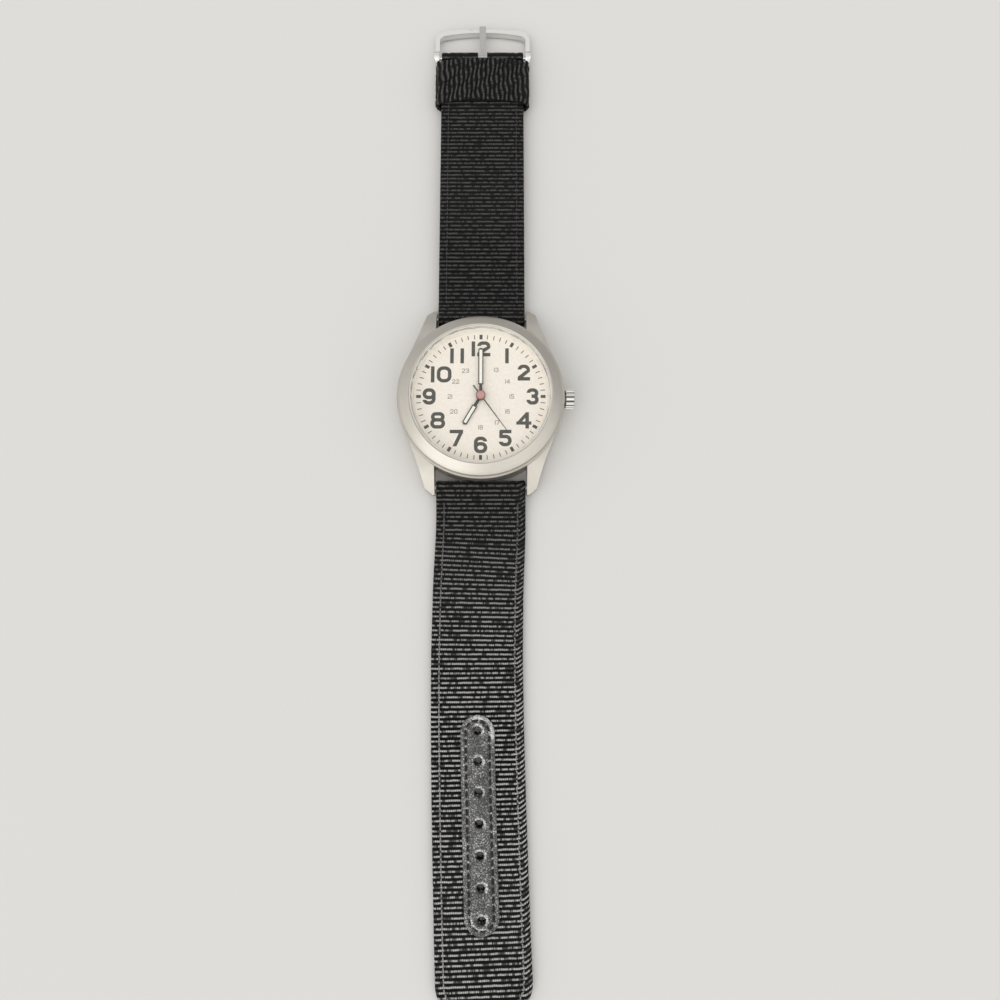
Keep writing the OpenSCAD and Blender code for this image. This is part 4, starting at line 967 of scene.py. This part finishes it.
class Digits:
    """Squarish upright digits as distance fields, w by h with strokes t wide, about their middle. Bowls are
    rounded rectangular rings, a cut opens a ring on one side, and everything stays in the w by h box."""

    # Radius of a bowl's corners as a share of the digit's width
    CORNER = 0.32

    def __init__(self, w, h, t):
        self.w, self.h, self.t = w, h, t
        self.a, self.b = (w - t) / 2, (h - t) / 2

    def ring(self, x, y, cy, half_h, half_w=None):
        """A bowl whose stroke runs half_w and half_h from its middle."""
        corner = min(self.CORNER * self.w, half_h)
        return np.abs(box_distance(x, y, 0, cy, half_w or self.a, half_h, corner)) - self.t / 2

    def opened(self, x, y, ring, side, low, high, to=0.1):
        """Takes the left (-1) or right (1) side off a ring between two heights, to a share of its width."""
        reach = self.w
        gap = box_distance(x, y, side * (reach - to * self.w), (low + high) / 2, reach, (high - low) / 2)
        return np.maximum(ring, -gap)

    def field(self, digit, x, y):
        """Distance outside a digit's strokes, negative inside them."""
        a, b, t, h, w = self.a, self.b, self.t, self.h, self.w
        if digit in "69":
            turn = 1 if digit == "6" else -1
            x, y = turn * x, turn * y
            bowl = self.ring(x, y, -0.42 * b, 0.58 * b)
            hook = self.opened(x, y, self.ring(x, y, 0, b), 1, -0.5 * b, 0.52 * b)
            made = np.minimum(bowl, hook)
        elif digit == "0":
            made = self.ring(x, y, 0, b)
        elif digit == "1":
            made = box_distance(x, y, 0, 0, t / 2, h / 2)
        elif digit == "8":
            upper = self.ring(x, y, 0.54 * b, 0.46 * b, 0.9 * a)
            made = np.minimum(upper, self.ring(x, y, -0.46 * b, 0.54 * b))
        elif digit == "3":
            upper, lower = self.ring(x, y, 0.52 * b, 0.48 * b, 0.94 * a), self.ring(x, y, -0.48 * b, 0.52 * b)
            upper = self.opened(x, y, upper, -1, -0.5 * b, 0.56 * b, 0.06)
            lower = self.opened(x, y, lower, -1, -0.52 * b, 0.5 * b, 0.06)
            stub = box_distance(x, y, 0.1 * w, 0.04 * b, 0.18 * w, t / 2)
            made = np.minimum(np.minimum(upper, lower), stub)
        elif digit == "2":
            upper = self.ring(x, y, 0.42 * b, 0.58 * b)
            upper = np.maximum(self.opened(x, y, upper, -1, -b, 0.5 * b, 0.0), 0.14 * b - y)
            slant = bar_distance(x, y, (a + 0.1 * t, 0.34 * b), (-a - 0.1 * t, -0.86 * b), t / 2)
            slant = np.maximum(slant, y - 0.3 * b)
            made = np.minimum(np.minimum(upper, slant), box_distance(x, y, 0, -b, w / 2, t / 2))
        elif digit == "5":
            bowl = self.opened(x, y, self.ring(x, y, -0.38 * b, 0.62 * b), -1, -0.55 * b, -0.02 * b, 0.06)
            stem = box_distance(x, y, -a + 0.05 * w, 0.6 * b, t / 2, 0.44 * b)
            made = np.minimum(np.minimum(bowl, stem), box_distance(x, y, 0.03 * w, b, 0.45 * w, t / 2))
        elif digit == "7":
            slant = bar_distance(x, y, (a + 0.02 * w, b), (-0.2 * w, -b - t), t / 2)
            made = np.minimum(slant, box_distance(x, y, 0, b, w / 2, t / 2))
        else:
            stem = box_distance(x, y, 0.22 * w, 0, t / 2, h / 2)
            cross = box_distance(x, y, 0, -0.42 * b, w / 2, t * 0.46)
            slant = bar_distance(x, y, (0.22 * w, b + 0.15 * t), (-a - 0.1 * t, -0.5 * b), t * 0.44)
            made = np.minimum(np.minimum(stem, cross), np.maximum(slant, -0.5 * b - y))
        return np.maximum(made, box_distance(x, y, 0, 0, w / 2, h / 2))


def printed(field, low, high, cell):
    """A flat shape where field is negative, as corner points and faces. Grid points near the outline are
    moved onto it along the field's slope; a cell with four corners inside is a square, and with three a
    triangle."""
    across, up = (np.arange(a, b + cell, cell) for a, b in zip(low, high))
    x, y = np.meshgrid(across, up, indexing="ij")
    value = field(x, y)
    step = cell / 20
    slope_x = (field(x + step, y) - field(x - step, y)) / (2 * step)
    slope_y = (field(x, y + step) - field(x, y - step)) / (2 * step)
    size = np.maximum(slope_x ** 2 + slope_y ** 2, 0.2)
    near = np.abs(value) < 0.7 * cell
    x = np.where(near, x - value * slope_x / size, x)
    y = np.where(near, y - value * slope_y / size, y)
    inside = near | (value < 0)
    index = np.arange(x.size).reshape(x.shape)
    corners = np.stack([index[:-1, :-1], index[1:, :-1], index[1:, 1:], index[:-1, 1:]], -1).reshape(-1, 4)
    held = inside.ravel()[corners]
    quads = corners[held.all(1)]
    three = corners[held.sum(1) == 3]
    missing = np.argmin(held[held.sum(1) == 3], axis=1)
    order = (missing[:, None] + np.array([1, 2, 3])) % 4
    return np.stack([x.ravel(), y.ravel()], -1), quads, np.take_along_axis(three, order, 1)


def ink_solid(shapes, base, thick):
    """Closed thin solids of flat shapes: top, underside, and a wall on each edge that only one face has."""
    points, quads, triangles, count = [], [], [], 0
    for flat, four, three in shapes:
        points.append(flat)
        quads.append(four + count)
        triangles.append(three + count)
        count += len(flat)
    flat, quads, triangles = np.concatenate(points), np.concatenate(quads), np.concatenate(triangles)
    edges = np.concatenate([np.stack([f, np.roll(f, -1, 1)], -1).reshape(-1, 2) for f in (quads, triangles)])
    key = np.sort(edges, 1) @ np.array([count, 1])
    _, first, times = np.unique(key, return_index=True, return_counts=True)
    rim = edges[first[times == 1]]
    walls = np.stack([rim[:, 1], rim[:, 0], rim[:, 0] + count, rim[:, 1] + count], 1)
    tops = [np.column_stack([flat, np.full(count, z)]) for z in (base + thick, base - thick)]
    return np.concatenate(tops), [quads, quads[:, ::-1] + count, triangles, triangles[:, ::-1] + count, walls]


class WATCH_OT_dial_printing(DressOperator):
    """The dial's printing: hour numerals, 24-hour numerals, hour blocks and minute ticks, as films of ink."""
    bl_idname = "watch.dial_printing"
    bl_label = "Dial printing"

    # Hour: its numeral's middle right of and above the dial's middle, height and width of its digits, in mm
    HOURS = {1: (6.23, 10.07, 3.74, 3.1), 2: (10.25, 5.9, 3.95, 2.95), 3: (12.28, 0, 4, 2.9),
             4: (10.19, -5.84, 3.95, 3.55), 5: (5.77, -10.13, 4, 3.07), 6: (0, -11.78, 4, 3.15),
             7: (-5.71, -10.13, 4, 3.15), 8: (-10.15, -5.84, 4, 3.5), 9: (-12.28, 0, 4, 3.1),
             10: (-9.46, 5.45, 4, 3.5), 11: (-5.71, 10.07, 3.74, 3.1), 12: (0, 11.82, 3.74, 3.15)}
    # Millimetres right and up by which a 24-hour numeral stands off its ring
    LATE_SHIFTS = {13: (0, 0.2), 17: (0.24, 0), 18: (0, -0.2), 22: (0.38, 0)}

    def execute(self, context):
        sizes = context.scene.watch_dial
        top = box("dial")[1][2]
        dark = moulded("printing ink", sizes.ink, 0.5, 0.06 * MM, 0.002 * MM)
        faint = moulded("faint printing ink", sizes.faint, 0.5, 0.06 * MM, 0.002 * MM)
        small = Digits(sizes.small_w, sizes.small_h, sizes.small_stroke)
        hours, late = [], []
        for hour, (x, y, tall, wide) in self.HOURS.items():
            digits = Digits(wide * MM, tall * MM, sizes.stroke)
            hours += self.number(digits, str(hour), np.array([x, y]) * MM, 0.06 * MM)
            turn = np.radians(30 * hour)
            if hour < 12:
                centre = sizes.small_ring * np.array([np.sin(turn), np.cos(turn)])
                centre += np.array(self.LATE_SHIFTS.get(hour + 12, (0, 0))) * MM
                late += self.number(small, str(hour + 12), centre, 0.02 * MM)
        self.print_on("hour_numerals", hours, top, sizes.ink_t, dark)
        self.print_on("late_numerals", late, top, sizes.ink_t, faint)
        self.print_on("minute_track", self.track(sizes), top, sizes.ink_t, dark)
        return {"FINISHED"}

    def number(self, digits, text, centre, cell):
        """The shapes of a number's digits, side by side about its centre. A one is as wide as its stroke."""
        widths = [digits.t if d == "1" else digits.w for d in text]
        gap = (0.52 if text == "11" else 0.16) * digits.w
        start = centre[0] - (sum(widths) + gap * (len(text) - 1)) / 2
        made = []
        for digit, width in zip(text, widths):
            mid = start + width / 2
            start += width + gap
            margin = np.array([digits.w, digits.h]) * 0.55
            flat, four, three = printed(lambda x, y, d=digit: digits.field(d, x, y), -margin, margin, cell)
            made.append((flat + np.array([mid, centre[1]]), four, three))
        return made

    def track(self, sizes):
        """Sixty radial marks: a wide block at each hour and a thin tick at each minute."""
        made = []
        for minute in range(60):
            hour = minute % 5 == 0
            half_w = (sizes.block_w if hour else sizes.tick_w) / 2
            inner = sizes.track - sizes.block * (1 if hour else 0.9)
            turn = np.radians(6 * minute)
            way, side = np.array([np.sin(turn), np.cos(turn)]), np.array([np.cos(turn), -np.sin(turn)])
            flat = np.array([way * r + side * k * half_w for r, k in
                             ((inner, -1), (inner, 1), (sizes.track, 1), (sizes.track, -1))])
            made.append((flat, np.array([[0, 1, 2, 3]]), np.zeros((0, 3), int)))
        return made

    def print_on(self, name, shapes, top, thick, material):
        """Adds flat shapes as a film of ink on the dial."""
        points, faces = ink_solid(shapes, top, thick)
        add_mesh(name, points, faces, "case", material, sharp=30)


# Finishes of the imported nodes


class WATCH_OT_finishes(DressOperator):
    """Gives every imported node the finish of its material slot, and a few nodes a finish of their own."""
    bl_idname = "watch.finishes"
    bl_label = "Metal, glass and paint finishes"
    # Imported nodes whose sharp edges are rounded, and the width of the rounding in millimetres
    ROUNDED = {"buckle_frame": 0.42, "buckle_tang": 0.5, "bezel": 0.06}

    def execute(self, context):
        metal, dial = context.scene.watch_metal, context.scene.watch_dial
        pale = (0.84, 0.8, 0.72)
        by_slot = {
            "case_steel": blasted_steel(metal),
            "polished_steel": polished_steel("polished steel", metal.bright),
            "movement_steel": plain_metal("movement steel", (0.5, 0.5, 0.52), 0.3, 0.12 * MM),
            "brass": plain_metal("brass", metal.brass, 0.25, 0.1 * MM),
            "crystal": clear_crystal(),
            "gasket": moulded("rubber", (0.012, 0.012, 0.012), 0.6),
            "nylon_gasket": moulded("crystal gasket", (0.7, 0.68, 0.62), 0.45),
            "dial_paint": moulded("dial paint", dial.paint, 0.42, 0.05 * MM, 0.002 * MM, Coat_Weight=0.12),
            "hand_paint": moulded("hand paint", (0.034, 0.029, 0.021), 0.35, 0.08 * MM, Coat_Weight=0.2),
            "red_paint": second_hand_paint(),
            "lume": moulded("lume", (0.86, 0.85, 0.77), 0.6, 0.09 * MM, 0.01 * MM),
            "holder_plastic": moulded("holder plastic", (0.6, 0.6, 0.57), 0.45),
            "board": moulded("circuit board", (0.02, 0.13, 0.05), 0.4, 0.3 * MM),
            "copper": plain_metal("copper", (0.75, 0.32, 0.16), 0.3, 0.06 * MM),
            "webbing": webbing(context.scene.watch_webbing),
            "patch_leather": moulded("patch backing", (0.02, 0.02, 0.02), 0.6),
        }
        own = {
            # the bezel's ledge gets the pale paint, which also stands in as painted light
            "bezel": brushed_steel(metal, pale),
            "rehaut_ring": moulded("rehaut", pale, 0.3, 0.1 * MM),
            "crown": crown_steel(metal),
            "buckle_tang": polished_steel("tang steel", mixed(metal.bright, 0.62)),
        }
        for part in frame["record"]["subparts"]:
            node = frame["nodes"][part["node"]]
            material = own.get(part["node"], by_slot[part["material_slot"]])
            node.data.materials.clear()
            node.data.materials.append(material)
        for name, width in self.ROUNDED.items():
            self.round_edges(frame["nodes"][name], width * MM)
        return {"FINISHED"}

    def round_edges(self, node, width):
        """Joins the node's loose triangles and rounds the edges between its flat faces."""
        weld = node.modifiers.new("join", "WELD")
        weld.merge_threshold = 0.0005 * MM
        bevel = node.modifiers.new("round", "BEVEL")
        bevel.width = width
        bevel.segments = 4
        bevel.limit_method = "ANGLE"
        bevel.angle_limit = np.radians(35)


# Stage


class WATCH_OT_stage(DressOperator):
    """A pale floor, a soft sky that is brighter in front and on the left, three soft lights, the camera."""
    bl_idname = "watch.stage"
    bl_label = "Stage"
    # The camera looks down, tilted from straight below it by 9.1 degrees, as the photograph was taken
    CAMERA, TILT = (4.56 * MM, -52.8 * MM, 181.26 * MM), 9.1
    # Focal length and width of the sensor, in millimetres
    LENS, SENSOR = 27.36, 36

    def execute(self, context):
        sizes = context.scene.watch_stage
        self.floor(sizes)
        self.sky()
        self.light("key light", (-0.48, -0.56, 0.67), 50, sizes.key)
        self.light("fill light", (0.6, -0.3, 0.74), 60, sizes.fill)
        self.light("far light", (-0.05, 0.83, 0.55), 26, sizes.far)
        lens = bpy.data.cameras.new("camera")
        lens.lens = self.LENS
        lens.sensor_width = self.SENSOR
        lens.clip_start = 1 * MM
        camera = bpy.data.objects.new("camera", lens)
        camera.location = self.CAMERA
        camera.rotation_euler = (np.radians(self.TILT), 0, 0)
        context.scene.collection.objects.link(camera)
        context.scene.camera = camera
        context.scene.view_settings.view_transform = "Standard"
        return {"FINISHED"}

    def floor(self, sizes):
        """A round floor just under the watch, of rings that widen far beyond any view of it."""
        rings, spokes, gap = 40, 96, 0.03 * MM
        turn = np.linspace(0, 2 * np.pi, spokes, endpoint=False)
        radius = np.geomspace(0.01, 12, rings)[:, None]
        grid = np.stack([radius * np.cos(turn), radius * np.sin(turn), 0 * radius * turn - gap], -1)
        index = np.arange(rings * spokes).reshape(rings, spokes)
        quads = np.stack([index[:-1], index[1:], np.roll(index[1:], -1, 1), np.roll(index[:-1], -1, 1)], -1)
        mesh = bpy.data.meshes.new("floor")
        mesh.from_pydata(grid.reshape(-1, 3), [], [*quads.reshape(-1, 4).tolist(), index[0].tolist()])
        paint = Paint("floor")
        base = paint.mix(paint.grain(40 * MM, 2.0), mixed(sizes.floor, 0.99), sizes.floor)
        mesh.materials.append(paint.finish(base, 0.8, Specular_IOR_Level=0.1))
        ground = bpy.data.objects.new("floor", mesh)
        bpy.context.scene.collection.objects.link(ground)

    def sky(self):
        """World light and backdrop in one: pale grey beyond the buckle, white in front, brighter overhead."""
        paint = Paint("sky", bpy.data.worlds.new("sky"))
        bpy.context.scene.world = paint.material
        x, y, z = paint.parts(paint.wire("ShaderNodeTexCoord", output="Generated"))
        front = (0.6 - 0.2 * x - 0.42 * y).step(0.0, 1.0)
        shade = paint.mix(front, (0.42, 0.42, 0.425), (0.94, 0.93, 0.91))
        overhead = 1 + 0.35 * z.math("MAXIMUM", 0.0)
        light = paint.wire("ShaderNodeBackground", inputs={"Color": shade, "Strength": overhead})
        paint.node("ShaderNodeOutputWorld", inputs={"Surface": light})

    def light(self, name, towards, spread, strength):
        """A far soft light from the direction towards, spread degrees wide. Its own place has no effect."""
        lamp = bpy.data.lights.new(name, "SUN")
        lamp.angle = np.radians(spread)
        lamp.energy = strength
        placed = bpy.data.objects.new(name, lamp)
        x, y, z = towards
        placed.location = np.array(towards) * 0.5
        placed.rotation_euler = (np.arctan2(np.hypot(x, y), z), 0, np.arctan2(x, -y))
        bpy.context.scene.collection.objects.link(placed)


class WATCH_PT_dressing(Panel):
    """Lists the pieces and their sizes in the sidebar."""
    bl_idname = "WATCH_PT_dressing"
    bl_label = "Pilot watch"
    bl_space_type = "VIEW_3D"
    bl_region_type = "UI"
    bl_category = "Watch"

    def draw(self, context):
        for step in STEPS:
            self.layout.operator(step.bl_idname)
        for name, group in GROUPS.items():
            column = self.layout.box().column()
            for label in group.__annotations__:
                column.prop(getattr(context.scene, name), label)


GROUPS = {
    "watch_webbing": WebbingSizes,
    "watch_patch": PatchSizes,
    "watch_dial": DialSizes,
    "watch_metal": MetalSizes,
    "watch_stage": StageSizes,
}
STEPS = (WATCH_OT_stage, WATCH_OT_finishes, WATCH_OT_dial_printing, WATCH_OT_lower_webbing,
         WATCH_OT_upper_webbing, WATCH_OT_keeper_band, WATCH_OT_strap_stitching, WATCH_OT_leather_patch)


def register():
    for kind in (*GROUPS.values(), *STEPS, WATCH_PT_dressing):
        bpy.utils.register_class(kind)
    for name, group in GROUPS.items():
        setattr(bpy.types.Scene, name, PointerProperty(type=group))


def unregister():
    for name in GROUPS:
        delattr(bpy.types.Scene, name)
    for kind in reversed((*GROUPS.values(), *STEPS, WATCH_PT_dressing)):
        bpy.utils.unregister_class(kind)


def main():
    register()
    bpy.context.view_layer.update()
    for step in STEPS:
        group, name = step.bl_idname.split(".")
        getattr(getattr(bpy.ops, group), name)()


if __name__ == "__main__":
    main()
